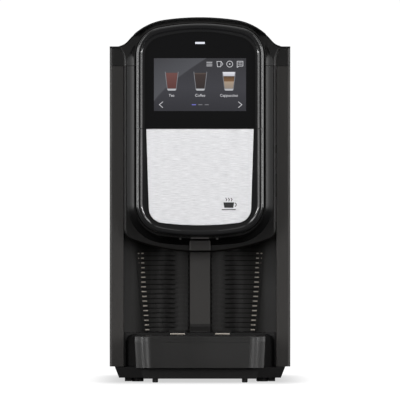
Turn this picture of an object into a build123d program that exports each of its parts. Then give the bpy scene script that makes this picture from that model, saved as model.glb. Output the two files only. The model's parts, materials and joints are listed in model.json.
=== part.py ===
from build123d import *
from math import acos, cos, hypot, pi, radians, sin, sqrt, tan
import os

os.makedirs("parts", exist_ok=True)

# A countertop single-serve hot drink machine. Millimetres; +X right, -Y front, +Z up.
# The origin is on the counter, under the middle of the machine.

# ---------------------------------------------------------------- driving dimensions
width, depth, height = 221.0, 396.0, 445.0
wall = 3.0  # moulded housing wall
seam = 0.5  # gap between neighbouring housing pieces
slip = 0.3  # gap round a piece that slides or lifts off
sheet = 1.5  # bent steel sheet
screw_radius = 2.0  # shank of every self-tapping screw
running = 0.05  # radial play of a pin in its bore

# Heights from the counter
base_low = 4.7  # underside of the base pan, which stands on the feet
base_high = 18.4  # top of the base pan, where the side panels start
tongue_high = 17.8  # top of the deck that carries the drip tray
tray_rim = 49.3  # top of the drip tray
grate_top = 56.5  # top of the grate, where a cup stands
liner_low = 60.0  # where the louvred liner starts, on top of the tray bay

# The front module: display above, pack door below
module_high = height - 8.3
display_height = 127.9
door_height = 130.7
module_half = 77.4
module_seam = module_high - display_height
module_low = module_seam - door_height
module_depth = 39.0
module_wall = 3.0
module_gap = 1.5  # shadow gap round the module
rim = 10.0  # width of the glossy rim round the window
window_step = 2.5  # how far the window lies behind the rim

# Front to back
column_setback = 86.0
module_setback = 14.0
knuckle_radius = 4.0  # lid hinge
hinge_reach = 4.5  # lid hinge, from the housing's back

half = width / 2
front_y = -depth / 2
column_y = front_y + column_setback
module_y = front_y + module_setback
module_back_y = module_y + module_depth
lid_hinge_y = depth / 2 - knuckle_radius
rear_y = lid_hinge_y - hinge_reach

# The top of the housing: flat shoulders, two necks and a dome
lid_thickness = 2.0
shoulder_drop = 35.0
cover_height = 24.0  # from the cover's seam up to the shoulder
crown_radius = 300.0
dome_radius = 71.0
dome_offset = 33.0
neck_radius = 18.0
shoulder_z = height - shoulder_drop
cover_seam = shoulder_z - cover_height
lid_hinge_z = shoulder_z - knuckle_radius
lid_knuckle_x = 101.0
lid_knuckle_width = 10.0
lid_lug_width = 10.0

# The stepped shroud round the module
column_face = 17.0  # width of the plain column beside the shroud
outer_tier_half = half - column_face - 1.0
outer_tier_reach = 15.0  # how far each tier stands out from the columns
inner_tier_reach = 39.5
tier_round = 2.5  # rounding of the outer tier's front edge
inner_tier_margin = 3.0  # width of the thin lip round the module's pocket
bowl_drop = 20.0  # how far the shroud hangs below the module
bowl_bow = 19.0
outer_tier_y = column_y - outer_tier_reach
inner_tier_y = column_y - inner_tier_reach
pocket_y = module_back_y + module_gap
bowl_low = module_low - bowl_drop
column_edge = half - column_face

# Cup bay
bay_depth = 54.0  # from the columns' front to the back of the tray bay
bay_back_y = column_y + bay_depth
louvre_pitch = 5.85
louvre_count = 17
louvre_reach = 1.8
post_half = 13.0

# Drip tray
tray_length = 94.0
tray_half = 79.4
tray_wall = 2.5
tray_corner = 19.0
tray_back_y = front_y + tray_length
tray_low = tongue_high + slip
grate_low = tray_rim + slip

# Pack door
door_hinge_y = module_back_y - 5.0
door_hinge_z = module_low + 8.0
door_pin_radius = 2.5
door_pin_x = 24.0  # where each hinge pin leaves its bracket
pack_width, pack_depth, pack_height = 80.0, 16.0, 84.0

# Tank bay at the rear
tank_half = 94.0
tank_depth = 60.0
tank_height = 288.0
tank_wall = 2.5
tank_low = 76.0
spigot_radius = 6.0
tank_high = tank_low + tank_height
tank_front_y = rear_y - tank_depth
bulkhead_y = tank_front_y - 32.0
spigot_z = tank_low + 22.0

# Piercing needle above the pack
needle_y = module_y + 21.0
needle_travel = 12.0
gear_module = 0.8
gear_teeth = 18
gear_backlash = 0.12
pressure_angle = radians(20)
pitch_radius = gear_module * gear_teeth / 2
rack_x = 22.0  # pitch line of the rack
gear_x = rack_x + pitch_radius
carriage_low = module_seam + 22.0
carriage_high = carriage_low + 12.0
rod_x = 15.0
rod_radius = 2.0
gear_z = carriage_low


# ---------------------------------------------------------------- helpers
def keep(piece, label):
    """Names a finished piece and writes it."""
    piece.part.label = label
    export_step(piece.part, f"parts/{label}.step")


def facing(y):
    """A sketch plane at y that faces the front: its own X is +X and its own Y is +Z."""
    return Plane.XZ.offset(-y)


def sideways(x):
    """A sketch plane at x that faces right: its own X is +Y and its own Y is +Z."""
    return Plane.YZ.offset(x)


def level(z):
    """A sketch plane at z that faces up."""
    return Plane.XY.offset(z)


def block(x_range, y_range, z_range, mode=Mode.ADD):
    """A box between three pairs of limits."""
    centre = [(low + high) / 2 for low, high in (x_range, y_range, z_range)]
    with Locations(tuple(centre)):
        Box(*[high - low for low, high in (x_range, y_range, z_range)], mode=mode)


def along(start, towards, distance):
    """The point at a distance from start, towards another point."""
    reach = hypot(towards[0] - start[0], towards[1] - start[1])
    return tuple(s + (t - s) * distance / reach for s, t in zip(start, towards))


def bend(centre, start, end, radius):
    """The middle point of the arc about centre from start to end."""
    return along(centre, ((start[0] + end[0]) / 2, (start[1] + end[1]) / 2), radius)


def housing_face(y, drop, low):
    """The housing from the front, its top lowered by drop: two shoulders, two necks and a dome."""
    top = height - drop
    shoulder = top - shoulder_drop
    crown_centre = (0, top - crown_radius)
    dome_rise = sqrt((crown_radius - dome_radius) ** 2 - dome_offset**2)
    dome_centre = (dome_offset, crown_centre[1] + dome_rise)
    neck_z = shoulder + neck_radius
    neck_reach = sqrt((dome_radius + neck_radius) ** 2 - (neck_z - dome_centre[1]) ** 2)
    neck_centre = (dome_offset + neck_reach, neck_z)
    crown_end = along(crown_centre, dome_centre, crown_radius)
    dome_end = along(dome_centre, neck_centre, dome_radius)
    neck_end = (neck_centre[0], shoulder)
    dome_mid = bend(dome_centre, crown_end, dome_end, dome_radius)
    neck_mid = bend(neck_centre, dome_end, neck_end, neck_radius)
    with BuildSketch(facing(y)) as face:
        with BuildLine():
            ThreePointArc((-crown_end[0], crown_end[1]), (0, top), crown_end)
            for side in (1, -1):
                points = [(side * x, z) for x, z in (crown_end, dome_mid, dome_end, neck_mid, neck_end)]
                ThreePointArc(*points[0:3])
                ThreePointArc(*points[2:5])
                Polyline(points[4], (side * half, shoulder), (side * half, low))
            Line((half, low), (-half, low))
        make_face()
    return face.sketch


def shield_face(y, half_wide, low, high, low_bow, high_bow, low_radius, high_radius):
    """An upright shield: straight sides, a top and a bottom that bow outwards, and round corners."""
    with BuildSketch(facing(y)) as face:
        with BuildLine():
            Line((-half_wide, low + low_bow), (-half_wide, high - high_bow))
            if high_bow > 0:
                ThreePointArc((-half_wide, high - high_bow), (0, high), (half_wide, high - high_bow))
            else:
                Line((-half_wide, high), (half_wide, high))
            Line((half_wide, high - high_bow), (half_wide, low + low_bow))
            ThreePointArc((half_wide, low + low_bow), (0, low), (-half_wide, low + low_bow))
        make_face()
        fillet(vertices().group_by(Axis.Y)[0], low_radius)
        if high_radius > 0:
            fillet(vertices().group_by(Axis.Y)[-1], high_radius)
    return face.sketch


def module_face(y, inset):
    """The front module's outline, drawn in by inset."""
    return shield_face(
        y,
        module_half - inset,
        module_low + inset,
        module_high - inset,
        10.0,
        12.0,
        36.0 - inset,
        34.0 - inset,
    )


def bowl_face(y, inset):
    """The outer tier of the shroud: a shallow bowl below, open above the cover's seam."""
    return shield_face(
        y,
        outer_tier_half - inset,
        bowl_low + inset,
        height + 1,
        bowl_bow,
        0,
        14.0 - inset,
        0,
    )


def liner_points(shift):
    """The right half of the liner from above, from the column in to the middle post."""
    edge = column_edge - slip
    run = [
        (edge, 3.0),
        (edge - 5, 5.5),
        (79.0, 11.0),
        (66.0, 29.0),
        (59.0, 38.0),
        (47.0, 47.0),
        (33.0, 41.5),
        (post_half, 38.5),
    ]
    return [(x, column_y + y + shift) for x, y in run]


def liner_face(z, front_shift, back_shift, side):
    """The liner's section on one side, between two copies of its run shifted front to back."""
    front = [(side * x, y) for x, y in liner_points(front_shift)]
    back = [(side * x, y) for x, y in liner_points(back_shift)]
    with BuildSketch(level(z)) as face:
        with BuildLine():
            Spline(*front)
            Line(front[-1], back[-1])
            Spline(*back)
            Line(back[0], front[0])
        make_face()
    return face.sketch


def tube(points, radius, bend_radius, bore):
    """A formed tube swept along a line with rounded corners; call it inside a part block."""
    with BuildLine(mode=Mode.PRIVATE) as route:
        FilletPolyline(*points, radius=bend_radius)
    path = route.line
    start = Plane(path @ 0, z_dir=path % 0)
    with BuildSketch(start) as ring:
        Circle(radius)
        Circle(bore, mode=Mode.SUBTRACT)
    sweep(ring.sketch, path=path)


# ---------------------------------------------------------------- housing
# Base pan: a tapered tub with a tongue under the drip tray.
pan_low_half = 98.9
pan_high_half = 104.4
tongue_low_half = 68.3
tongue_high_half = 73.0
tongue_front_y = front_y + 18.0
deck_back_y = tray_back_y + 4.0
with BuildPart() as base_pan:
    with BuildSketch(facing(column_y)):
        with BuildLine():
            Polyline(
                (-pan_low_half, base_low),
                (pan_low_half, base_low),
                (pan_high_half, base_high),
                (-pan_high_half, base_high),
                close=True,
            )
        make_face()
    extrude(amount=-(rear_y - column_y))
    with BuildSketch(facing(tongue_front_y)):
        with BuildLine():
            Polyline(
                (-tongue_low_half, base_low),
                (tongue_low_half, base_low),
                (tongue_high_half, tongue_high),
                (-tongue_high_half, tongue_high),
                close=True,
            )
        make_face()
    extrude(amount=-(column_y - tongue_front_y))
    pan_half = pan_low_half - wall
    block(
        (-pan_half, pan_half),
        (deck_back_y + wall, rear_y - wall),
        (base_low + wall, base_high + 1),
        Mode.SUBTRACT,
    )
    block(
        (-pan_high_half - 1, pan_high_half + 1),
        (column_y, deck_back_y),
        (tongue_high, base_high + 1),
        Mode.SUBTRACT,
    )
    tongue_inner = tongue_low_half - wall
    block(
        (-tongue_inner, tongue_inner),
        (tongue_front_y + wall, deck_back_y),
        (base_low - 1, tongue_high - wall),
        Mode.SUBTRACT,
    )
    for side in (-1, 1):
        block((side * 88 - 4, side * 88 + 4), (column_y + 6, column_y + 26), (0.4, base_low + 1))
keep(base_pan, "base_pan")

# Rubber feet: four round ones under the pan and two small ones under the tongue.
foot_radius = 7.5
foot_y = (column_y + 16, rear_y - 20)
with BuildPart() as rubber_feet:
    with BuildSketch(level(0)):
        with Locations(*[(x, y) for x in (-76.5, 76.5) for y in foot_y]):
            Circle(foot_radius)
        with Locations((-54.5, tongue_front_y + 8), (54.5, tongue_front_y + 8)):
            Circle(3.5)
    extrude(amount=base_low)
    chamfer(edges().group_by(Axis.Z)[0], 0.8)
keep(rubber_feet, "rubber_feet")


def panel_face(side):
    """One side panel from above: the side, the column's front and a return beside the cup bay."""
    run = [
        (half, rear_y),
        (half, column_y),
        (column_edge, column_y),
        (column_edge, column_y + 20),
        (column_edge + 2, column_y + 20),
        (column_edge + 2, column_y + wall),
        (half - wall, column_y + wall),
        (half - wall, rear_y),
    ]
    with BuildSketch(level(base_high)) as face:
        with BuildLine():
            Polyline(*[(side * x, y) for x, y in run], close=True)
        make_face()
        fillet(vertices().sort_by_distance((side * half, column_y, 0))[0], 3.0)
    return face.sketch


panel_height = cover_seam - seam / 2 - base_high
with BuildPart() as side_panel_left:
    extrude(panel_face(-1), amount=panel_height)
keep(side_panel_left, "side_panel_left")

with BuildPart() as side_panel_right:
    extrude(panel_face(1), amount=panel_height)
keep(side_panel_right, "side_panel_right")

# Top cover: walls that follow the dome, with the two tiers of the shroud standing out in front.
cover_drop = lid_thickness + slip
cover_low = cover_seam + seam / 2
flare_z = cover_seam + 6


def tier_cut(y):
    """What the outer tier leaves out beside the dome: it flares outwards under the shoulder."""
    with BuildSketch(facing(y)) as face:
        for side in (-1, 1):
            with BuildLine():
                Polyline(
                    (side * outer_tier_half, flare_z),
                    (side * outer_tier_half, cover_seam - 1),
                    (side * (half + 1), cover_seam - 1),
                    (side * (half + 1), shoulder_z + 1),
                    (side * (outer_tier_half + 5.5), shoulder_z + 1),
                    (side * (outer_tier_half + 5.5), shoulder_z - 4),
                )
                ThreePointArc(
                    (side * (outer_tier_half + 5.5), shoulder_z - 4),
                    (side * (outer_tier_half + 1.8), (flare_z + shoulder_z) / 2 - 1),
                    (side * outer_tier_half, flare_z),
                )
            make_face()
    return face.sketch


with BuildPart() as tier_tool:
    extrude(housing_face(outer_tier_y, cover_drop, bowl_low - 1), amount=-(column_y - outer_tier_y + 1))
    extrude(tier_cut(outer_tier_y - 1), amount=-(column_y - outer_tier_y + 3), mode=Mode.SUBTRACT)
    # Round its front edge beside the dome, as on the shroud below
    tier_edges = (
        edges()
        .filter_by_position(Axis.Y, outer_tier_y - 0.1, outer_tier_y + 0.1)
        .filter_by_position(Axis.Z, cover_seam - 1.1, shoulder_z - 3.9)
    )
    left_edges = tier_edges.filter_by_position(Axis.X, -half, -outer_tier_half + 0.1)
    right_edges = tier_edges.filter_by_position(Axis.X, outer_tier_half - 0.1, half)
    fillet(left_edges + right_edges, tier_round)
with BuildPart() as collar_tool:
    extrude(housing_face(inner_tier_y, cover_drop, bowl_low - 1), amount=-(outer_tier_y - inner_tier_y + 1))
    extrude(
        module_face(inner_tier_y - 1, -inner_tier_margin),
        amount=-(outer_tier_y - inner_tier_y + 3),
        mode=Mode.INTERSECT,
    )
with BuildPart() as top_cover:
    extrude(housing_face(column_y, cover_drop, cover_low), amount=-(rear_y - column_y))
    add(tier_tool.part)
    add(collar_tool.part)
    split(bisect_by=level(cover_low), keep=Keep.TOP)
    inner_half = half - wall
    block((-inner_half, inner_half), (column_y + wall, rear_y - wall), (cover_low - 1, height), Mode.SUBTRACT)
    extrude(
        module_face(inner_tier_y - 1, -module_gap),
        amount=-(pocket_y - inner_tier_y + 1),
        mode=Mode.SUBTRACT,
    )
    extrude(module_face(pocket_y + wall, 6), amount=-(column_y - pocket_y + 1), mode=Mode.SUBTRACT)
    fillet(edges().filter_by(Axis.Z).sort_by_distance((half, column_y, cover_seam))[0], 3.0)
    fillet(edges().filter_by(Axis.Z).sort_by_distance((-half, column_y, cover_seam))[0], 3.0)
    # A finger recess under the lid's front edge
    with BuildSketch(facing(inner_tier_y)):
        with BuildLine():
            Polyline(
                (-10, module_high + module_gap + 1.8),
                (10, module_high + module_gap + 1.8),
                (13, height),
                (-13, height),
                close=True,
            )
        make_face()
    extrude(amount=-9, mode=Mode.SUBTRACT)
keep(top_cover, "top_cover")

# Front shroud: the same tiers below the seam, with a bowl that closes the cup bay from above.
with BuildPart() as shroud_hollow:
    extrude(bowl_face(outer_tier_y + wall, wall), amount=-(bay_back_y - outer_tier_y))
    extrude(module_face(pocket_y + wall, 6), amount=-(outer_tier_y + wall - pocket_y - wall + 1))
tube_way = module_low + 160.7  # lower edge of the way through for the needle's tube
with BuildPart() as front_shroud:
    extrude(bowl_face(outer_tier_y, 0), amount=-(bay_back_y - outer_tier_y))
    fillet(faces().sort_by(Axis.Y)[0].edges(), tier_round)
    extrude(
        module_face(inner_tier_y, -inner_tier_margin), amount=-(outer_tier_y - inner_tier_y + 1)
    )
    split(bisect_by=level(cover_seam - seam / 2), keep=Keep.BOTTOM)
    add(shroud_hollow.part, mode=Mode.SUBTRACT)
    extrude(
        module_face(inner_tier_y - 1, -module_gap),
        amount=-(pocket_y - inner_tier_y + 1),
        mode=Mode.SUBTRACT,
    )
    # The way through for the needle's tube and the display's cable
    block((-30, 30), (pocket_y - 1, pocket_y + wall + 1), (tube_way, tube_way + 30), Mode.SUBTRACT)
keep(front_shroud, "front_shroud")

# Lid: a thin shell over the whole top, hinged behind the housing.
lid_low = lid_thickness
with BuildPart() as lid_band:
    extrude(housing_face(inner_tier_y, 0, cover_seam), amount=-(rear_y - inner_tier_y))
    extrude(
        housing_face(inner_tier_y - 1, lid_low, cover_seam - 1),
        amount=-(rear_y - inner_tier_y + 2),
        mode=Mode.SUBTRACT,
    )
    block(
        (-half - 1, half + 1),
        (inner_tier_y - 1, rear_y + 1),
        (cover_seam - 2, shoulder_z - lid_low),
        Mode.SUBTRACT,
    )
    for side in (-1, 1):
        inner_half = module_half + inner_tier_margin
        edge = sorted((side * inner_half, side * (half + 1)))
        block(edge, (inner_tier_y - 1, outer_tier_y), (cover_seam, height), Mode.SUBTRACT)
        edge = sorted((side * (outer_tier_half + 5.5), side * (half + 1)))
        block(edge, (inner_tier_y - 1, column_y), (cover_seam, height), Mode.SUBTRACT)
with BuildPart() as top_lid:
    add(lid_band.part)
    for side in (-1, 1):
        knuckle_near = side * (lid_knuckle_x - lid_knuckle_width / 2)
        knuckle_far = side * (lid_knuckle_x + lid_knuckle_width / 2)
        knuckle = sorted((knuckle_near, knuckle_far))
        block(knuckle, (rear_y, lid_hinge_y), (shoulder_z - lid_thickness, shoulder_z))
        with BuildSketch(sideways(knuckle[0])):
            with Locations((lid_hinge_y, lid_hinge_z)):
                Circle(knuckle_radius)
        extrude(amount=lid_knuckle_width)
    with BuildSketch(sideways(-half)):
        with Locations((lid_hinge_y, lid_hinge_z)):
            Circle(screw_radius + running)
    extrude(amount=width, mode=Mode.SUBTRACT)
keep(top_lid, "top_lid")

# Lid hinge pins: on each side a lug behind the cover, with a pin out through the lid's knuckle.
with BuildPart() as lid_hinge_pins:
    for side in (-1, 1):
        lug_end = lid_knuckle_x - lid_knuckle_width / 2 - slip
        limits = sorted((side * lug_end, side * (lug_end - lid_lug_width)))
        block(limits, (rear_y, lid_hinge_y), (lid_hinge_z - knuckle_radius, lid_hinge_z + 1))
        with BuildSketch(sideways(limits[0])):
            with Locations((lid_hinge_y, lid_hinge_z)):
                Circle(knuckle_radius)
        extrude(amount=lid_lug_width)
        pin = sorted((side * (lug_end - lid_lug_width), side * (lid_knuckle_x + lid_knuckle_width / 2)))
        with BuildSketch(sideways(pin[0])):
            with Locations((lid_hinge_y, lid_hinge_z)):
                Circle(screw_radius)
        extrude(amount=pin[1] - pin[0])
keep(lid_hinge_pins, "lid_hinge_pins")

# Rear panel: closes the back round the tank, with openings for the switch and the power inlet.
panel_half = half - wall - slip
service_z = 46.0
inlet_x, inlet_half_width, inlet_half_height = -52.0, 14.0, 10.5
switch_x, switch_half_width, switch_half_height = 52.0, 7.0, 11.0
screw_places = [(side * 101.0, z) for side in (-1, 1) for z in (28.0, 205.0, 375.0)]
with BuildPart() as rear_panel:
    block((-panel_half, panel_half), (rear_y - wall, rear_y), (base_high + seam, cover_seam - seam / 2))
    block(
        (-tank_half - slip, tank_half + slip),
        (rear_y - wall - 1, rear_y + 1),
        (tank_low - 1, tank_high + 1),
        Mode.SUBTRACT,
    )
    for x, half_wide, half_high in (
        (inlet_x, inlet_half_width, inlet_half_height),
        (switch_x, switch_half_width, switch_half_height),
    ):
        block(
            (x - half_wide, x + half_wide),
            (rear_y - wall - 1, rear_y + 1),
            (service_z - half_high, service_z + half_high),
            Mode.SUBTRACT,
        )
    with BuildSketch(facing(rear_y)):
        with Locations(*screw_places):
            Circle(screw_radius)
        with GridLocations(7, 0, 7, 1):
            with Locations((0, service_z)):
                SlotOverall(22, 2.2, rotation=90)
    extrude(amount=wall + 1, mode=Mode.SUBTRACT)
keep(rear_panel, "rear_panel")

# Rear screws: pan heads outside, shanks through the panel.
with BuildPart() as rear_screws:
    with BuildSketch(facing(rear_y)):
        with Locations(*screw_places):
            Circle(screw_radius)
    extrude(amount=wall + 6)
    with BuildSketch(facing(rear_y + 1.8)):
        with Locations(*screw_places):
            Circle(2 * screw_radius)
    extrude(amount=1.8)
    with BuildSketch(facing(rear_y + 1.8)):
        with Locations(*screw_places):
            SlotOverall(4.4, 0.9)
            SlotOverall(4.4, 0.9, rotation=90)
    extrude(amount=1.0, mode=Mode.SUBTRACT)
keep(rear_screws, "rear_screws")

# Tray bay: side walls, a back and a shelf under the liner.
bay_half = column_edge - slip
bay_roof = liner_low - slip
with BuildPart() as tray_bay:
    block((-bay_half, bay_half), (column_y + 2, bay_back_y), (base_high + slip, bay_roof))
    bay_inner = bay_half - 2
    with BuildSketch(facing(column_y)):
        with BuildLine():
            Polyline(
                (-bay_inner, base_high - 1),
                (-bay_inner, bay_roof - 2),
                (bay_inner, bay_roof - 2),
                (bay_inner, base_high - 1),
                close=True,
            )
        make_face()
        fillet(vertices().group_by(Axis.Y)[-1], 9.0)
    extrude(amount=-(deck_back_y - column_y - 2), mode=Mode.SUBTRACT)
    block(
        (-bay_inner, bay_inner),
        (deck_back_y, bay_back_y + 1),
        (base_high - 1, bay_roof - 2),
        Mode.SUBTRACT,
    )
    # The roof is open over the tray, in front of the liner
    front_run = [(x, y) for x, y in liner_points(-louvre_reach - 0.5)]
    with BuildSketch(level(bay_roof - 3)):
        with BuildLine():
            Spline(*front_run)
            Spline(*[(-x, y) for x, y in front_run])
            Line(front_run[-1], (-front_run[-1][0], front_run[-1][1]))
            Polyline(
                front_run[0],
                (front_run[0][0], column_y - 1),
                (-front_run[0][0], column_y - 1),
                (-front_run[0][0], front_run[0][1]),
            )
        make_face()
        with Locations((0, column_y)):
            Rectangle(2 * bay_half, 2 * (deck_back_y - column_y - 2), mode=Mode.INTERSECT)
    extrude(amount=5, mode=Mode.SUBTRACT)
    for side in (-1, 1):
        block(sorted((side * 17, side * 38)), (deck_back_y, deck_back_y + 3), (bay_roof, bay_roof + 2.6))
keep(tray_bay, "tray_bay")

# Liner: the louvred back wall of the cup bay, cut to the bowl above it.
liner_thick = 3.0
liner_high = bowl_low + bowl_bow + 4
post_front_y = column_y + 33.0
with BuildPart() as recess_liner:
    for side in (-1, 1):
        extrude(liner_face(liner_low, 0, liner_thick, side), amount=liner_high - liner_low)
    post_back_y = column_y + 38.5 + liner_thick
    with BuildSketch(level(liner_low)):
        with Locations((0, (post_front_y + post_back_y) / 2)):
            Rectangle(2 * post_half, post_back_y - post_front_y)
        fillet(vertices().group_by(Axis.Y)[0], 2.5)
    extrude(amount=liner_high - liner_low)
    # The post's foot runs out forwards
    with BuildSketch(sideways(-post_half + 1)):
        with BuildLine():
            Polyline(
                (post_front_y + 1, liner_low),
                (post_front_y + 1, liner_low + 8),
                (post_front_y - 5, liner_low + 1.5),
                (post_front_y - 5, liner_low),
                close=True,
            )
        make_face()
    extrude(amount=2 * post_half - 2)
    for row in range(louvre_count):
        z = liner_low + 2.5 + row * louvre_pitch
        reach_out = 78.5 - 0.5 * (louvre_count - row)
        for side in (-1, 1):
            with BuildSketch(level(z)):
                add(liner_face(0, -louvre_reach, 1.0, side))
                with Locations((side * (reach_out + post_half + 1) / 2, column_y + 25)):
                    Rectangle(reach_out - post_half - 1, 60, mode=Mode.INTERSECT)
            extrude(amount=louvre_pitch * 0.5)
    extrude(bowl_face(column_y, -slip), amount=-bay_depth - 5, mode=Mode.SUBTRACT)
keep(recess_liner, "recess_liner")


# ---------------------------------------------------------------- display
window_y = module_y + window_step
glass_thick = 2.0
screen_width, screen_height = 112.0, 64.2
screen_z = module_high - 74.3
bezel_low = module_seam + slip
status_z = module_high - 23.6
status_half = 5.85
with BuildPart() as ring_tool:
    extrude(module_face(module_y, 0), amount=-module_depth)
    fillet(faces().sort_by(Axis.Y)[0].edges(), 4.5)
    extrude(module_face(window_y + glass_thick, module_wall), amount=-module_depth, mode=Mode.SUBTRACT)
with BuildPart() as display_bezel:
    add(ring_tool.part)
    extrude(module_face(module_y, rim), amount=-module_depth, mode=Mode.SUBTRACT)
    extrude(module_face(window_y, rim - 2), amount=-glass_thick, mode=Mode.SUBTRACT)
    split(bisect_by=level(bezel_low), keep=Keep.TOP)
    floor_half = module_half - 1.0
    block(
        (-floor_half, floor_half),
        (window_y + glass_thick + slip, module_back_y),
        (bezel_low, bezel_low + module_wall),
    )
    with BuildSketch(level(bezel_low)):
        with Locations((0, needle_y)):
            Circle(5.0)
    extrude(amount=module_wall, mode=Mode.SUBTRACT)
    # A ledge behind the glass
    with BuildSketch(facing(window_y + glass_thick)):
        add(module_face(0, module_wall))
        add(module_face(0, rim + 5), mode=Mode.SUBTRACT)
    extrude(amount=-1.5)
    split(bisect_by=level(bezel_low), keep=Keep.TOP)
keep(display_bezel, "display_bezel")

with BuildPart() as touch_glass:
    extrude(module_face(window_y, rim - 2 + 0.1), amount=-glass_thick + 0.05)
    split(bisect_by=level(bezel_low + 0.1), keep=Keep.TOP)
    block(
        (-status_half, status_half),
        (window_y - 1, module_back_y),
        (status_z - 1.2, status_z + 1.2),
        Mode.SUBTRACT,
    )
keep(touch_glass, "touch_glass")

with BuildPart() as status_light_bar:
    block((-status_half, status_half), (window_y - 0.2, window_y + 5), (status_z - 1.2, status_z + 1.2))
keep(status_light_bar, "status_light_bar")

lcd_y = window_y + glass_thick + 2.0
lcd_thick = 5.0
with BuildPart() as lcd_module:
    lcd_half = screen_width / 2 + 3
    block(
        (-lcd_half, lcd_half),
        (lcd_y, lcd_y + lcd_thick),
        (screen_z - screen_height / 2 - 6, screen_z + screen_height / 2 + 3),
    )
keep(lcd_module, "lcd_module")

board_front = lcd_y + lcd_thick + 3.0
board_back = board_front + 1.6
board_low, board_high = screen_z, screen_z + 50.0
with BuildPart() as display_board:
    block((-50, 50), (board_front, board_back), (board_low, board_high))
    for x in (-44, 44):
        for z in (board_low + 6, board_high - 6):
            block((x - 2.5, x + 2.5), (lcd_y + lcd_thick + 0.1, board_front), (z - 2.5, z + 2.5))
    block((-12, 4), (board_back, board_back + 1.6), (board_low + 16, board_low + 32))
    block((18, 38), (board_back, board_back + 4.4), (board_low + 37, board_low + 45))
keep(display_board, "display_board")


# ---------------------------------------------------------------- pack door
plate_gap = 2.0
plate_half = module_half - rim - plate_gap
plate_low = module_low + rim + 3.1
plate_high = module_seam - slip
plate_taper = 3.6  # how much narrower each side is at the foot
plate_bow = 5.2
with BuildPart() as door_frame:
    add(ring_tool.part)
    extrude(module_face(module_y, rim), amount=-window_step, mode=Mode.SUBTRACT)
    split(bisect_by=level(module_seam), keep=Keep.BOTTOM)
    split(bisect_by=facing(module_back_y - wall - 0.2), keep=Keep.TOP)
    block(
        (-module_half + 1, module_half - 1),
        (window_y + glass_thick + slip, module_back_y - wall - 0.2),
        (module_seam - module_wall, module_seam),
    )
    block(
        (-pack_width / 2, pack_width / 2),
        (needle_y - pack_depth / 2, needle_y + pack_depth / 2),
        (module_seam - module_wall - 1, module_seam + 1),
        Mode.SUBTRACT,
    )
    with BuildSketch(level(module_low - 1)):
        with Locations((0, needle_y)):
            Circle(6.0)
    extrude(amount=wall + 4, mode=Mode.SUBTRACT)
keep(door_frame, "door_frame")

with BuildPart() as door_steel_panel:
    with BuildSketch(facing(window_y - sheet)):
        with BuildLine():
            foot_half = plate_half - plate_taper
            foot_z = plate_low + plate_bow
            Polyline(
                (-foot_half, foot_z),
                (-plate_half, plate_high),
                (plate_half, plate_high),
                (foot_half, foot_z),
            )
            ThreePointArc((foot_half, foot_z), (0, plate_low), (-foot_half, foot_z))
        make_face()
        fillet(vertices().group_by(Axis.Y)[0], 18.0)
    extrude(amount=-sheet)
    chamfer(faces().sort_by(Axis.Y)[0].edges(), 0.4)
keep(door_steel_panel, "door_steel_panel")

# Inner cover of the door, with the two hinge knuckles
cover_front_y = module_back_y - wall
knuckle_outer = 3.8
knuckle_length = 8.0
bracket_width = 4.0
with BuildPart() as door_inner_cover:
    extrude(module_face(cover_front_y, slip), amount=-wall)
    split(bisect_by=level(module_seam), keep=Keep.BOTTOM)
    block(
        (-module_half, module_half),
        (cover_front_y - 1, module_back_y + 1),
        (0, module_low + 4.5),
        Mode.SUBTRACT,
    )
    for side in (-1, 1):
        limits = sorted((side * (door_pin_x - slip), side * (door_pin_x - slip - knuckle_length)))
        with BuildSketch(sideways(limits[0])):
            with Locations((door_hinge_y, door_hinge_z)):
                Circle(knuckle_outer)
        extrude(amount=knuckle_length)
        slot = sorted((side * (door_pin_x - slip), side * (door_pin_x + bracket_width + slip)))
        block(slot, (cover_front_y - 1, module_back_y + 1), (0, door_hinge_z + 9), Mode.SUBTRACT)
    with BuildSketch(sideways(-half)):
        with Locations((door_hinge_y, door_hinge_z)):
            Circle(door_pin_radius + running)
    extrude(amount=width, mode=Mode.SUBTRACT)
keep(door_inner_cover, "door_inner_cover")

# Door hinge pins: a bracket on the shroud's pocket and a pin on each side.
with BuildPart() as door_hinge_pins:
    for side in (-1, 1):
        limits = sorted((side * door_pin_x, side * (door_pin_x + bracket_width)))
        block(limits, (door_hinge_y, pocket_y), (door_hinge_z - 1.5, door_hinge_z + 3))
        with BuildSketch(sideways(limits[0])):
            with Locations((door_hinge_y, door_hinge_z)):
                Circle(3.0)
        extrude(amount=bracket_width)
        pin = sorted((side * (door_pin_x - slip - knuckle_length), side * door_pin_x))
        with BuildSketch(sideways(pin[0])):
            with Locations((door_hinge_y, door_hinge_z)):
                Circle(door_pin_radius)
        extrude(amount=pin[1] - pin[0])
keep(door_hinge_pins, "door_hinge_pins")

# Pack holder: an open-topped pocket inside the door, with an outlet that the drink leaves by.
holder_wall = 2.0
holder_high = module_seam - module_wall - slip
holder_low = holder_high - pack_height
with BuildPart() as pack_holder:
    outer_x = pack_width / 2 + holder_wall
    outer_y = pack_depth / 2 + holder_wall
    block((-outer_x, outer_x), (needle_y - outer_y, needle_y + outer_y), (holder_low, holder_high))
    block(
        (-pack_width / 2, pack_width / 2),
        (needle_y - pack_depth / 2, needle_y + pack_depth / 2),
        (holder_low + holder_wall, holder_high + 1),
        Mode.SUBTRACT,
    )
    with BuildSketch(level(module_low + 1)):
        with Locations((0, needle_y)):
            Circle(5.5)
    extrude(amount=holder_low - module_low)
    with BuildSketch(level(module_low)):
        with Locations((0, needle_y)):
            Circle(3.5)
    extrude(amount=holder_low - module_low + 5, mode=Mode.SUBTRACT)
keep(pack_holder, "pack_holder")


# ---------------------------------------------------------------- needle drive
def involute(base, radius):
    """The angle by which an involute from the base circle has turned where it reaches a radius."""
    roll = acos(min(1.0, base / radius))
    return tan(roll) - roll


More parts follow.
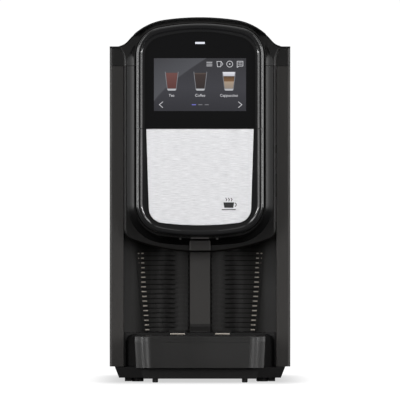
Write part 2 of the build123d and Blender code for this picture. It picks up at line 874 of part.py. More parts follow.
def gear_face(y, x, z, play, turn):
    """A spur gear from the front, with one tooth centred at the angle turn."""
    base = pitch_radius * cos(pressure_angle)
    tip = pitch_radius + gear_module * 0.9
    root = pitch_radius - gear_module * 1.2
    thick = (pi * gear_module / 2 - play) / pitch_radius / 2 + involute(base, pitch_radius)
    steps = [base + (tip - base) * i / 4 for i in range(5)]
    with BuildSketch(facing(y)) as face:
        with Locations((x, z)):
            Circle(root)
        for tooth in range(gear_teeth):
            middle = turn + 2 * pi * tooth / gear_teeth
            flank = [(r, thick - involute(base, r)) for r in steps]
            rise = [(x + r * cos(middle - a), z + r * sin(middle - a)) for r, a in flank]
            fall = [(x + r * cos(middle + a), z + r * sin(middle + a)) for r, a in reversed(flank)]
            low = root - 0.3
            first = (x + low * cos(middle - thick), z + low * sin(middle - thick))
            last = (x + low * cos(middle + thick), z + low * sin(middle + thick))
            with BuildLine():
                Line(first, rise[0])
                Spline(*rise)
                Line(rise[-1], fall[0])
                Spline(*fall)
                Line(fall[-1], last)
                Line(last, first)
            make_face()
    return face.sketch


gear_thick = 6.0
shaft_radius = 1.5
motor_front_y = needle_y + gear_thick / 2 + 1.0
motor_back_y = motor_front_y + 11.0
frame_back_y = module_back_y - 1.0
gap_angle = pi - pi / gear_teeth  # a gap of the pinion faces a tooth of the rack
with BuildPart() as nozzle_pinion:
    extrude(
        gear_face(needle_y - gear_thick / 2, gear_x, gear_z, gear_backlash, gap_angle),
        amount=-gear_thick,
    )
    with BuildSketch(facing(needle_y)):
        with Locations((gear_x, gear_z)):
            Circle(shaft_radius)
    extrude(amount=-(gear_thick / 2 + 6))
keep(nozzle_pinion, "nozzle_pinion")

# Carriage: two bored guides and a rack that meets the pinion at its pitch line
rack_high = carriage_high + needle_travel + 4
with BuildPart() as nozzle_carriage:
    block((-rack_x + 3, rack_x - 3), (needle_y - 6, needle_y + 6), (carriage_low, carriage_high))
    with BuildSketch(level(carriage_low - 1)):
        with Locations((-rod_x, needle_y), (rod_x, needle_y)):
            Circle(rod_radius + running)
        with Locations((0, needle_y)):
            Circle(2.0)
    extrude(amount=carriage_high - carriage_low + 2, mode=Mode.SUBTRACT)
    addendum, dedendum = gear_module * 0.9, gear_module * 1.2
    block(
        (rack_x - 3.5, rack_x - dedendum),
        (needle_y - gear_thick / 2, needle_y + gear_thick / 2),
        (gear_z - 4, rack_high),
    )
    pitch = pi * gear_module
    half_tooth = (pitch / 2 - gear_backlash) / 2
    with BuildSketch(facing(needle_y - gear_thick / 2)):
        for tooth in range(-1, int((rack_high - gear_z - 1) / pitch)):
            z = gear_z + tooth * pitch
            with BuildLine():
                Polyline(
                    (rack_x - dedendum - 0.2, z - half_tooth - dedendum * tan(pressure_angle)),
                    (rack_x + addendum, z - half_tooth + addendum * tan(pressure_angle)),
                    (rack_x + addendum, z + half_tooth - addendum * tan(pressure_angle)),
                    (rack_x - dedendum - 0.2, z + half_tooth + dedendum * tan(pressure_angle)),
                    close=True,
                )
            make_face()
    extrude(amount=-gear_thick)
keep(nozzle_carriage, "nozzle_carriage")

needle_tip = bezel_low + 1.5
with BuildPart() as nozzle_needle:
    with BuildSketch(level(needle_tip + 5)):
        with Locations((0, needle_y)):
            Circle(2.0)
    extrude(amount=carriage_high + 6 - needle_tip - 5)
    with BuildSketch(level(needle_tip + 5)) as shank:
        with Locations((0, needle_y)):
            Circle(2.0)
    with BuildSketch(level(needle_tip)) as point:
        with Locations((0, needle_y)):
            Circle(0.4)
    loft([shank.sketch, point.sketch])
    with BuildSketch(level(carriage_high)):
        with Locations((0, needle_y)):
            Circle(4.5)
    extrude(amount=3)
keep(nozzle_needle, "nozzle_needle")

# Drive frame: a bracket with two arms that hold the guide rods, and a seat for the motor
arm = 2.0
drive_low = bezel_low + module_wall + 0.2
drive_high = carriage_high + 14
with BuildPart() as nozzle_frame:
    block((-rack_x, gear_x + 11), (frame_back_y - arm, frame_back_y), (drive_low, drive_high))
    for z in (drive_low, drive_high - arm):
        block((-rack_x, rod_x + rod_radius + 1), (needle_y - 5, frame_back_y), (z, z + arm))
    with BuildSketch(level(drive_low - 1)):
        with Locations((-rod_x, needle_y), (rod_x, needle_y)):
            Circle(rod_radius)
        with Locations((0, needle_y)):
            Circle(3.6)
    extrude(amount=drive_high - drive_low + 2, mode=Mode.SUBTRACT)
keep(nozzle_frame, "nozzle_frame")

with BuildPart() as nozzle_guide_rods:
    with BuildSketch(level(drive_low)):
        with Locations((-rod_x, needle_y), (rod_x, needle_y)):
            Circle(rod_radius)
    extrude(amount=drive_high - drive_low)
keep(nozzle_guide_rods, "nozzle_guide_rods")

with BuildPart() as nozzle_motor:
    with BuildSketch(facing(motor_front_y)):
        with Locations((gear_x, gear_z)):
            Circle(8.5)
    extrude(amount=-(frame_back_y - arm - motor_front_y))
    with BuildSketch(facing(motor_front_y)):
        with Locations((gear_x, gear_z)):
            Circle(shaft_radius + running)
    extrude(amount=-8, mode=Mode.SUBTRACT)
keep(nozzle_motor, "nozzle_motor")

# Light and sensor lenses under the door
with BuildPart() as cup_light_lens:
    lens_z = module_low - module_gap
    block((-11, 11), (inner_tier_y - 0.6, inner_tier_y - 0.05), (lens_z - 1.7, lens_z - 0.1))
keep(cup_light_lens, "cup_light_lens")

with BuildPart() as cup_sensor_lenses:
    with BuildSketch(facing(inner_tier_y - 0.6)):
        with Locations((-24, module_low - module_gap - 1.6), (21, module_low - module_gap - 1.6)):
            Circle(1.4)
    extrude(amount=-0.55)
keep(cup_sensor_lenses, "cup_sensor_lenses")

# Nozzle housing: a smooth strip on the bowl, under the light
with BuildPart() as nozzle_housing:
    block(
        (-post_half, post_half),
        (outer_tier_y - 6, outer_tier_y - 0.05),
        (bowl_low + 2.5, module_low - inner_tier_margin - 0.6),
    )
    fillet(edges().filter_by(Axis.Z).group_by(Axis.Y)[0], 2.0)
keep(nozzle_housing, "nozzle_housing")


# ---------------------------------------------------------------- drip tray
def tray_face(z, shrink, front_shrink):
    """The tray from above, with round front corners."""
    with BuildSketch(level(z)) as face:
        with BuildLine():
            front, back = front_y + front_shrink, tray_back_y - front_shrink
            wide = tray_half - shrink
            Polyline((-wide, front), (wide, front), (wide, back), (-wide, back), close=True)
        make_face()
        fillet(vertices().group_by(Axis.Y)[0], tray_corner - front_shrink)
        fillet(vertices().group_by(Axis.Y)[-1], 4.0)
    return face.sketch


tray_draft = 1.7
with BuildPart() as drip_tray:
    loft([tray_face(tray_low, tray_draft, 0), tray_face(tray_rim, 0, 0)])
    loft(
        [
            tray_face(tray_low + tray_wall, tray_draft + tray_wall, tray_wall),
            tray_face(tray_rim + 1, tray_wall, tray_wall),
        ],
        mode=Mode.SUBTRACT,
    )
    # A step inside that the grate sits on
    for side in (-1, 1):
        block(
            sorted((side * (tray_half - tray_wall - 3.5), side * (tray_half - tray_wall + 0.5))),
            (front_y + tray_corner + 4, tray_back_y - 10),
            (tray_rim - 9, tray_rim - 5.5),
        )
keep(drip_tray, "drip_tray")

# Grate: a thick rimmed lid with rows of slots, with two grooves along its edge
slot_rows = 8
slot_pitch = 9.6
with BuildPart() as drip_grate:
    extrude(tray_face(grate_low, 0, 0), amount=grate_top - grate_low)
    extrude(tray_face(grate_low - 1, 5, 5), amount=grate_top - grate_low - 1.5, mode=Mode.SUBTRACT)
    chamfer(faces().sort_by(Axis.Z)[-1].edges(), 1.0)
    with BuildSketch(level(grate_low + 3.2)):
        add(tray_face(0, -1, -1))
        add(tray_face(0, 0.6, 0.6), mode=Mode.SUBTRACT)
    extrude(amount=0.7, mode=Mode.SUBTRACT)
    with BuildSketch(level(grate_low)):
        with Locations((0, (front_y + tray_back_y) / 2)):
            with GridLocations(44, slot_pitch, 3, slot_rows):
                SlotOverall(36, 3.6)
    extrude(amount=20, mode=Mode.SUBTRACT)
    # A skirt that keeps the grate in the tray
    with BuildSketch(level(tray_rim - 5.3)):
        add(tray_face(0, tray_wall + 2 * slip, tray_wall + 2 * slip))
        add(tray_face(0, tray_wall + 2 * slip + 2, tray_wall + 2 * slip + 2), mode=Mode.SUBTRACT)
    extrude(amount=7)
keep(drip_grate, "drip_grate")


# ---------------------------------------------------------------- water tank
shelf_z = tank_low - 2 * slip
with BuildPart() as water_tank:
    block((-tank_half, tank_half), (tank_front_y, rear_y), (tank_low, tank_high))
    fillet(edges().filter_by(Axis.Z), 6.0)
    inner = tank_half - tank_wall
    block(
        (-inner, inner),
        (tank_front_y + tank_wall, rear_y - tank_wall),
        (tank_low + tank_wall, tank_high + 1),
        Mode.SUBTRACT,
    )
    # A grip recess near the top of the outer face, with its own back
    grip_z = tank_high - 52
    block((-38, 38), (rear_y - 20, rear_y), (grip_z - 18, grip_z + 18))
    block((-35, 35), (rear_y - 17, rear_y + 1), (grip_z - 15, grip_z + 15), Mode.SUBTRACT)
    with BuildSketch(facing(tank_front_y)):
        with Locations((0, spigot_z)):
            Circle(4.0)
    extrude(amount=-tank_wall - 1, mode=Mode.SUBTRACT)
keep(water_tank, "water_tank")

with BuildPart() as tank_outlet_fitting:
    with BuildSketch(facing(tank_front_y - 0.05)):
        with Locations((0, spigot_z)):
            Circle(spigot_radius)
    extrude(amount=14)
    with BuildSketch(facing(tank_front_y - 0.05)):
        with Locations((0, spigot_z)):
            Circle(9.0)
    extrude(amount=2)
    with BuildSketch(facing(tank_front_y + 5)):
        with Locations((0, spigot_z)):
            Circle(4.0)
    extrude(amount=6)
    with BuildSketch(facing(tank_front_y + 6)):
        with Locations((0, spigot_z)):
            Circle(2.5)
    extrude(amount=30, mode=Mode.SUBTRACT)
keep(tank_outlet_fitting, "tank_outlet_fitting")

dock_face_y = tank_front_y - 3.0
ring_groove = 1.6
with BuildPart() as tank_dock:
    block((-16, 16), (bulkhead_y + sheet, dock_face_y), (spigot_z - 14, spigot_z + 14))
    with BuildSketch(facing(dock_face_y)):
        with Locations((0, spigot_z)):
            Circle(spigot_radius + running)
    extrude(amount=14, mode=Mode.SUBTRACT)
    with BuildSketch(facing(dock_face_y)):
        with Locations((0, spigot_z)):
            Circle(3.0)
    extrude(amount=60, mode=Mode.SUBTRACT)
    with BuildSketch(facing(dock_face_y - 4)):
        with Locations((0, spigot_z)):
            Circle(spigot_radius + 2.2)
    extrude(amount=ring_groove * 1.5, mode=Mode.SUBTRACT)
keep(tank_dock, "tank_dock")

with BuildPart() as dock_seal:
    with BuildSketch(facing(dock_face_y - 4.1)):
        with Locations((0, spigot_z)):
            Circle(spigot_radius + 2.2)
            Circle(spigot_radius + running, mode=Mode.SUBTRACT)
    extrude(amount=ring_groove * 1.5 - 0.2)
keep(dock_seal, "dock_seal")

# Tank shelf: a bent sheet with side guides
with BuildPart() as tank_shelf:
    guide = tank_half + slip
    block(
        (-guide - sheet, guide + sheet),
        (bulkhead_y + sheet, rear_y - wall - slip),
        (shelf_z - sheet, shelf_z),
    )
    for side in (-1, 1):
        block(
            sorted((side * guide, side * (guide + sheet))),
            (tank_front_y, rear_y - wall - slip),
            (shelf_z, shelf_z + 24),
        )
    block((-guide, guide), (bulkhead_y + sheet, bulkhead_y + 2 * sheet), (base_low + wall, shelf_z - sheet))
keep(tank_shelf, "tank_shelf")

# Inner deck: closes the housing under the lid, with a funnel down to the tank's open top
deck_z = cover_seam + 6.0
fill_half, fill_front_y, fill_back_y = 46.0, tank_front_y + 10, rear_y - 10
with BuildPart() as inner_deck:
    deck_half = half - wall - slip
    block((-deck_half, deck_half), (column_y + wall + slip, rear_y - wall - slip), (deck_z, deck_z + 2))
    block((-fill_half - 2, fill_half + 2), (fill_front_y - 2, fill_back_y + 2), (tank_high + 2, deck_z + 6))
    block((-fill_half, fill_half), (fill_front_y, fill_back_y), (tank_high, deck_z + 7), Mode.SUBTRACT)
keep(inner_deck, "inner_deck")


# ---------------------------------------------------------------- chassis and works
chassis_half = pan_low_half - wall - seam
flange = 16.0
with BuildPart() as chassis_bulkhead:
    foot_z = base_low + wall
    block((-chassis_half, chassis_half), (bulkhead_y, bulkhead_y + sheet), (foot_z, deck_z - 1))
    block((-chassis_half, chassis_half), (bulkhead_y - flange, bulkhead_y), (foot_z, foot_z + sheet))
    for side in (-1, 1):
        edge = sorted((side * (chassis_half - sheet), side * chassis_half))
        block(edge, (bulkhead_y - flange, bulkhead_y), (foot_z, deck_z - 1))
    with BuildSketch(facing(bulkhead_y + sheet)):
        with Locations((0, spigot_z)):
            Circle(7.0)
        with Locations((60, 330), (-60, 120)):
            RectangleRounded(40, 26, 5)
    extrude(amount=2 * sheet, mode=Mode.SUBTRACT)
keep(chassis_bulkhead, "chassis_bulkhead")

boiler_x, boiler_y, boiler_radius, boiler_length = -46.0, 42.0, 33.0, 118.0
boiler_low = module_low + 34.0
boiler_high = boiler_low + boiler_length
with BuildPart() as boiler:
    with BuildSketch(level(boiler_low)):
        with Locations((boiler_x, boiler_y)):
            Circle(boiler_radius)
    extrude(amount=boiler_length)
    fillet(edges().filter_by(GeomType.CIRCLE), 7.0)
    with BuildSketch(level(boiler_low - 9)):
        with Locations((boiler_x, boiler_y)):
            Circle(5.0)
        with Locations((boiler_x - 16, boiler_y), (boiler_x + 16, boiler_y)):
            Circle(3.0)
    extrude(amount=boiler_length + 18)
keep(boiler, "boiler")

strap_half = boiler_radius + 0.1
with BuildPart() as boiler_bracket:
    for z in (boiler_low + 22, boiler_high - 34):
        with BuildSketch(level(z)):
            with Locations((boiler_x, boiler_y)):
                Circle(strap_half + sheet)
            with Locations((boiler_x, (boiler_y + bulkhead_y) / 2)):
                Rectangle(24, bulkhead_y - boiler_y)
            with Locations((boiler_x, boiler_y)):
                Circle(strap_half, mode=Mode.SUBTRACT)
        extrude(amount=12)
keep(boiler_bracket, "boiler_bracket")

with BuildPart() as thermal_cutouts:
    for z in (boiler_low + 52, boiler_low + 72):
        with BuildSketch(facing(boiler_y - boiler_radius - 0.1)):
            with Locations((boiler_x, z)):
                Circle(7.5)
        extrude(amount=8)
        block(
            (boiler_x - 1, boiler_x + 1),
            (boiler_y - boiler_radius - 15, boiler_y - boiler_radius - 8),
            (z - 3, z + 3),
        )
keep(thermal_cutouts, "thermal_cutouts")

pump_x, pump_y, pump_z = 40.0, 40.0, 48.0
pump_reach = 44.0  # half the pump's length, port to port
with BuildPart() as water_pump:
    block((pump_x - 19, pump_x + 19), (pump_y - 17, pump_y + 17), (pump_z - 17, pump_z + 17))
    for radius, reach in ((12.0, pump_reach - 10), (7.0, pump_reach - 4), (4.0, pump_reach)):
        with BuildSketch(sideways(pump_x - reach)):
            with Locations((pump_y, pump_z)):
                Circle(radius)
        extrude(amount=2 * reach)
keep(water_pump, "water_pump")

with BuildPart() as pump_mounts:
    for x in (pump_x - 30, pump_x + 24):
        with BuildSketch(sideways(x)):
            with Locations((pump_y, pump_z)):
                Circle(16)
            with Locations((pump_y, (pump_z + base_low + wall) / 2)):
                Rectangle(26, pump_z - base_low - wall)
            with Locations((pump_y, pump_z)):
                Circle(12.1, mode=Mode.SUBTRACT)
        extrude(amount=6)
keep(pump_mounts, "pump_mounts")

air_x, air_y, air_z = 56.0, 62.0, module_low - 8.0
with BuildPart() as air_pump:
    block((air_x - 15, air_x + 15), (air_y - 15, bulkhead_y), (air_z - 13, air_z + 13))
    with BuildSketch(level(air_z + 13)):
        with Locations((air_x, air_y)):
            Circle(13)
    extrude(amount=38)
    with BuildSketch(level(air_z - 22)):
        with Locations((air_x, air_y)):
            Circle(2.5)
    extrude(amount=10)
keep(air_pump, "air_pump")

with BuildPart() as flow_meter:
    with BuildSketch(facing(bulkhead_y)):
        with Locations((0, spigot_z)):
            Circle(13)
    extrude(amount=14)
    with BuildSketch(facing(bulkhead_y - 14)):
        with Locations((0, spigot_z)):
            Circle(3)
    extrude(amount=10)
keep(flow_meter, "flow_meter")

valve_x, valve_z = 14.0, module_low + 90.0
with BuildPart() as solenoid_valves:
    for shift in (0, 30):
        x = valve_x + shift
        block((x - 12, x + 12), (bulkhead_y - 26, bulkhead_y), (valve_z - 14, valve_z))
        with BuildSketch(level(valve_z)):
            with Locations((x, bulkhead_y - 13)):
                Circle(11)
        extrude(amount=26)
        with BuildSketch(facing(bulkhead_y - 26)):
            with Locations((x, valve_z - 7)):
                Circle(2.5)
        extrude(amount=9)
keep(solenoid_valves, "solenoid_valves")

board_gap = 10.5  # from the side panel's inside to the board
board_x = half - wall - board_gap
with BuildPart() as main_board:
    block((board_x, board_x + 1.6), (-70, 62), (150, 320))
    for y in (-62, 54):
        for z in (158, 312):
            block((board_x + 1.6, half - wall), (y - 3, y + 3), (z - 3, z + 3))
    # Parts on the board: place along Y and Z, size along Y and Z, and how far each stands off it
    board_parts = (
        (-40, 290, 24, 24, 2.5),
        (-45, 240, 16, 28, 15),
        (-10, 180, 34, 30, 24),
        (30, 175, 18, 18, 22),
        (20, 285, 40, 10, 9),
        (20, 245, 12, 12, 20),
    )
    for y, z, part_width, part_height, thick in board_parts:
        block(
            (board_x - thick, board_x),
            (y - part_width / 2, y + part_width / 2),
            (z - part_height / 2, z + part_height / 2),
        )
keep(main_board, "main_board")

with BuildPart() as power_supply:
    block((-96, -62), (-40, 60), (30, 120))
    with BuildSketch(sideways(-62)):
        with Locations((10, 75)):
            with GridLocations(12, 12, 6, 5):
                Circle(2.5)
    extrude(amount=-2, mode=Mode.SUBTRACT)
    for y in (-30, 50):
        block((-(half - wall - 0.1), -96), (y - 5, y + 5), (60, 90))
keep(power_supply, "power_supply")

# Formed tubes, held at both ends
tube_radius, tube_bore = 4.0, 2.4
thin_radius, thin_bore = 3.0, 1.8
with BuildPart() as suction_tube:
    inlet = pump_x - pump_reach
    tube(
        [
            (0, bulkhead_y - 24.05, spigot_z),
            (0, bulkhead_y - 38, spigot_z),
            (inlet - 14, pump_y, spigot_z - 6),
            (inlet - 14, pump_y, pump_z),
            (inlet - 0.05, pump_y, pump_z),
        ],
        tube_radius,
        5,
        tube_bore,
    )
keep(suction_tube, "suction_tube")

with BuildPart() as pressure_tube:
    outlet = pump_x + pump_reach
    tube(
        [
            (outlet + 0.05, pump_y, pump_z),
            (outlet + 13, pump_y, pump_z),
            (outlet + 13, pump_y, pump_z + 62),
            (boiler_x, boiler_y, boiler_low - 60),
            (boiler_x, boiler_y, boiler_low - 9.05),
        ],
        tube_radius,
        10,
        tube_bore,
    )
keep(pressure_tube, "pressure_tube")

with BuildPart() as brew_tube:
    tube(
        [
            (boiler_x, boiler_y, boiler_high + 9.05),
            (boiler_x, boiler_y, boiler_high + 34),
            (0, pocket_y + 20, boiler_high + 34),
            (0, needle_y, carriage_high + 24),
            (0, needle_y, carriage_high + 6 + slip),
        ],
        thin_radius,
        6,
        thin_bore,
    )
keep(brew_tube, "brew_tube")

with BuildPart() as air_tube:
    tube(
        [
            (air_x, air_y, air_z - 22.05),
            (air_x, air_y, air_z - 36),
            (valve_x + 22, bulkhead_y - 55, air_z - 36),
            (valve_x + 30, bulkhead_y - 55, valve_z - 7),
            (valve_x + 30, bulkhead_y - 35.05, valve_z - 7),
        ],
        thin_radius,
        6,
        thin_bore,
    )
keep(air_tube, "air_tube")

# ---------------------------------------------------------------- power
with BuildPart() as power_inlet:
    block(
        (inlet_x - inlet_half_width + 0.1, inlet_x + inlet_half_width - 0.1),
        (rear_y - 24, rear_y + 0.1),
        (service_z - inlet_half_height + 0.1, service_z + inlet_half_height - 0.1),
    )
    block(
        (inlet_x - inlet_half_width - 3, inlet_x + inlet_half_width + 3),
        (rear_y + 0.1, rear_y + 2),
        (service_z - inlet_half_height - 3, service_z + inlet_half_height + 3),
    )
    block(
        (inlet_x - 11, inlet_x + 11),
        (rear_y - 16, rear_y + 3),
        (service_z - 7, service_z + 7),
        Mode.SUBTRACT,
    )
    for x, z in ((inlet_x, service_z + 2), (inlet_x - 7, service_z - 2), (inlet_x + 7, service_z - 2)):
        block((x - 1, x + 1), (rear_y - 17, rear_y - 2), (z - 2.5, z + 2.5))
keep(power_inlet, "power_inlet")

rocker_half = switch_half_width - 2.2
rocker_high = switch_half_height - 2.2
rocker_y = rear_y - 5.0
trunnion_radius = 1.2
trunnion_reach = rocker_half + 1.2
with BuildPart() as switch_housing:
    block(
        (switch_x - switch_half_width + 0.1, switch_x + switch_half_width - 0.1),
        (rear_y - 22, rear_y + 0.1),
        (service_z - switch_half_height + 0.1, service_z + switch_half_height - 0.1),
    )
    block(
        (switch_x - switch_half_width - 2, switch_x + switch_half_width + 2),
        (rear_y + 0.1, rear_y + 1.8),
        (service_z - switch_half_height - 2, service_z + switch_half_height + 2),
    )
    block(
        (switch_x - rocker_half - slip, switch_x + rocker_half + slip),
        (rear_y - 12, rear_y + 3),
        (service_z - rocker_high - 1.0, service_z + rocker_high + 1.0),
        Mode.SUBTRACT,
    )
    with BuildSketch(sideways(switch_x - trunnion_reach - slip)):
        with Locations((rocker_y, service_z)):
            Circle(trunnion_radius + running)
    extrude(amount=2 * (trunnion_reach + slip), mode=Mode.SUBTRACT)
keep(switch_housing, "switch_housing")

with BuildPart() as rocker_switch:
    with BuildSketch(sideways(switch_x - rocker_half)):
        with BuildLine():
            Polyline(
                (rocker_y, service_z - rocker_high + 1.2),
                (rear_y + 0.9, service_z - rocker_high),
                (rear_y + 1.7, service_z),
                (rear_y + 0.9, service_z + rocker_high),
                (rocker_y, service_z + rocker_high - 1.2),
                close=True,
            )
        make_face()
    extrude(amount=2 * rocker_half)
    with BuildSketch(sideways(switch_x - trunnion_reach)):
        with Locations((rocker_y, service_z)):
            Circle(trunnion_radius)
    extrude(amount=2 * trunnion_reach)
keep(rocker_switch, "rocker_switch")
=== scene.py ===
import json
import math
import bpy
import bmesh
from mathutils import Matrix, Vector


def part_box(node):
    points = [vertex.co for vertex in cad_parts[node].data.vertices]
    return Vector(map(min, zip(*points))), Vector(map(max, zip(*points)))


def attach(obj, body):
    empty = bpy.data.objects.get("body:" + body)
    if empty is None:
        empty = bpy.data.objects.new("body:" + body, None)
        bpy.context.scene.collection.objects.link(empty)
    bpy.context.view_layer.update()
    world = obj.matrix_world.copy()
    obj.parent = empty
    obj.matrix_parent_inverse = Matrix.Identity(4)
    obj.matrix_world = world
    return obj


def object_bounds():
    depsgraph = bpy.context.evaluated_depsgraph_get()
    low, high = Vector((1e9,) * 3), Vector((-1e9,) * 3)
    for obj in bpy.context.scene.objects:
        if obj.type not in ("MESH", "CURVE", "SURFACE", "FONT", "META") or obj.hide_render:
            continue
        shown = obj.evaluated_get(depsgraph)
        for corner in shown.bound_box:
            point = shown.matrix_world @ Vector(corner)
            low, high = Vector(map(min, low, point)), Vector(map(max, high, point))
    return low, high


# A countertop hot drink machine: grey ABS housing, gloss black display and door, brushed steel panel.
# Sizes are in metres unless a name ends in Mm. +X right, -Y front, +Z up.

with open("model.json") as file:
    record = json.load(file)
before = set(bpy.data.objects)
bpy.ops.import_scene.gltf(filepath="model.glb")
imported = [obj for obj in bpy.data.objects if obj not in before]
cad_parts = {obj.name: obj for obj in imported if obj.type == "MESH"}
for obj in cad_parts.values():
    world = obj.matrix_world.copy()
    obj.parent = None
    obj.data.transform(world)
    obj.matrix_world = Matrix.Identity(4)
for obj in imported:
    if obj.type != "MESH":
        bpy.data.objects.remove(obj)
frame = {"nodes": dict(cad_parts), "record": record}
cadBox = [list(corner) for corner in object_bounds()]
nodes = frame["nodes"]
mm = 0.001


def hexColour(code):
    channels = [int(code[i:i + 2], 16) / 255 for i in (1, 3, 5)]
    linear = [c / 12.92 if c <= 0.04045 else ((c + 0.055) / 1.055) ** 2.4 for c in channels]
    return (*linear, 1.0)


def addNode(tree, kind, settings=None, links=None):
    node = tree.nodes.new(kind)
    for name, value in (settings or {}).items():
        if name in node.inputs:
            node.inputs[name].default_value = value
        else:
            setattr(node, name, value)
    for name, source in (links or {}).items():
        tree.links.new(source, node.inputs[name])
    return node


def newMaterial(name):
    material = bpy.data.materials.new(name)
    material.use_nodes = True
    tree = material.node_tree
    tree.nodes.clear()
    shader = addNode(tree, "ShaderNodeBsdfPrincipled")
    output = addNode(tree, "ShaderNodeOutputMaterial", links={"Surface": shader.outputs["BSDF"]})
    output.location = (400, 0)
    place = addNode(tree, "ShaderNodeTexCoord").outputs["Object"]
    return material, tree, shader, place


def perMetre(sizeMm):
    return 1000 / sizeMm  # a texture's scale for features of this size


def meshFrom(name, shape, material):
    mesh = bpy.data.meshes.new(name)
    shape.to_mesh(mesh)
    shape.free()
    mesh.materials.append(material)
    return mesh


def placePiece(mesh, body):
    # a finished mesh becomes a piece that moves with its body
    piece = bpy.data.objects.new(mesh.name, mesh)
    bpy.context.scene.collection.objects.link(piece)
    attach(piece, body)


driftMm = 70  # size of the slow patches in a moulding's gloss and colour


# Moulded plastic: a fine spark-eroded grain, a slow drift in gloss and a trace of colour variation
def mouldedPlastic(name, look):
    material, tree, shader, place = newMaterial(name)
    grain = addNode(tree, "ShaderNodeTexNoise",
                    {"Scale": perMetre(look["grainMm"]), "Detail": 3.0, "Roughness": 0.6}, {"Vector": place})
    drift = addNode(tree, "ShaderNodeTexNoise", {"Scale": perMetre(driftMm), "Detail": 2.0}, {"Vector": place})
    tint = addNode(tree, "ShaderNodeMapRange", {"From Min": 0.3, "From Max": 0.7, "To Min": 0.92,
                   "To Max": 1.08}, {"Value": drift.outputs["Fac"]})
    colour = addNode(tree, "ShaderNodeMix", {"data_type": "RGBA", "blend_type": "MULTIPLY"})
    colour.inputs[0].default_value = 1.0
    colour.inputs[6].default_value = hexColour(look["colour"])
    tree.links.new(tint.outputs["Result"], colour.inputs[7])
    tree.links.new(colour.outputs[2], shader.inputs["Base Color"])
    low, high = look["roughness"]
    gloss = addNode(tree, "ShaderNodeMapRange", {"From Min": 0.3, "From Max": 0.7, "To Min": low, "To Max": high},
                    {"Value": drift.outputs["Fac"]})
    tree.links.new(gloss.outputs["Result"], shader.inputs["Roughness"])
    bump = addNode(tree, "ShaderNodeBump", {"Strength": look["bump"], "Distance": 0.00012},
                   {"Height": grain.outputs["Fac"]})
    tree.links.new(bump.outputs["Normal"], shader.inputs["Normal"])
    shader.inputs["IOR"].default_value = 1.5
    shader.inputs["Specular IOR Level"].default_value = look.get("specular", 0.5)
    if "coat" in look:
        shader.inputs["Coat Weight"].default_value = look["coat"]
        shader.inputs["Coat Roughness"].default_value = 0.05
    return material


# Metals: fine scratches that run one way, stretched by the mapping
def drawnMetal(name, look):
    material, tree, shader, place = newMaterial(name)
    stretch = addNode(tree, "ShaderNodeMapping", {"Scale": look["stretch"]}, {"Vector": place})
    lines = addNode(tree, "ShaderNodeTexNoise",
                    {"Scale": perMetre(look["lineMm"]), "Detail": 4.0, "Roughness": 0.7},
                    {"Vector": stretch.outputs["Vector"]})
    shade = addNode(tree, "ShaderNodeValToRGB", links={"Fac": lines.outputs["Fac"]})
    shade.color_ramp.elements[0].position = 0.3
    shade.color_ramp.elements[1].position = 0.7
    shade.color_ramp.elements[0].color = hexColour(look["dark"])
    shade.color_ramp.elements[1].color = hexColour(look["light"])
    tree.links.new(shade.outputs["Color"], shader.inputs["Base Color"])
    low, high = look["roughness"]
    rough = addNode(tree, "ShaderNodeMapRange", {"From Min": 0.3, "From Max": 0.7, "To Min": low, "To Max": high},
                    {"Value": lines.outputs["Fac"]})
    tree.links.new(rough.outputs["Result"], shader.inputs["Roughness"])
    bump = addNode(tree, "ShaderNodeBump", {"Strength": look["bump"], "Distance": 0.00005},
                   {"Height": lines.outputs["Fac"]})
    tree.links.new(bump.outputs["Normal"], shader.inputs["Normal"])
    shader.inputs["Metallic"].default_value = 1.0
    return material


# Clear or smoked plastic and glass
def clearSheet(name, look):
    material, tree, shader, place = newMaterial(name)
    smear = addNode(tree, "ShaderNodeTexNoise", {"Scale": perMetre(45), "Detail": 3.0}, {"Vector": place})
    rough = addNode(tree, "ShaderNodeMapRange", {"From Min": 0.3, "From Max": 0.8, "To Min": look["roughness"],
                    "To Max": look["roughness"] + 0.05}, {"Value": smear.outputs["Fac"]})
    tree.links.new(rough.outputs["Result"], shader.inputs["Roughness"])
    shader.inputs["Base Color"].default_value = hexColour(look["colour"])
    shader.inputs["Transmission Weight"].default_value = look["clear"]
    shader.inputs["IOR"].default_value = look["ior"]
    return material


# Something that glows: a display picture or a light guide
def glowing(name, colour, strength):
    material, tree, shader, place = newMaterial(name)
    shader.inputs["Base Color"].default_value = hexColour("#101012")
    shader.inputs["Roughness"].default_value = 0.25
    shader.inputs["Emission Color"].default_value = hexColour(colour)
    shader.inputs["Emission Strength"].default_value = strength
    return material


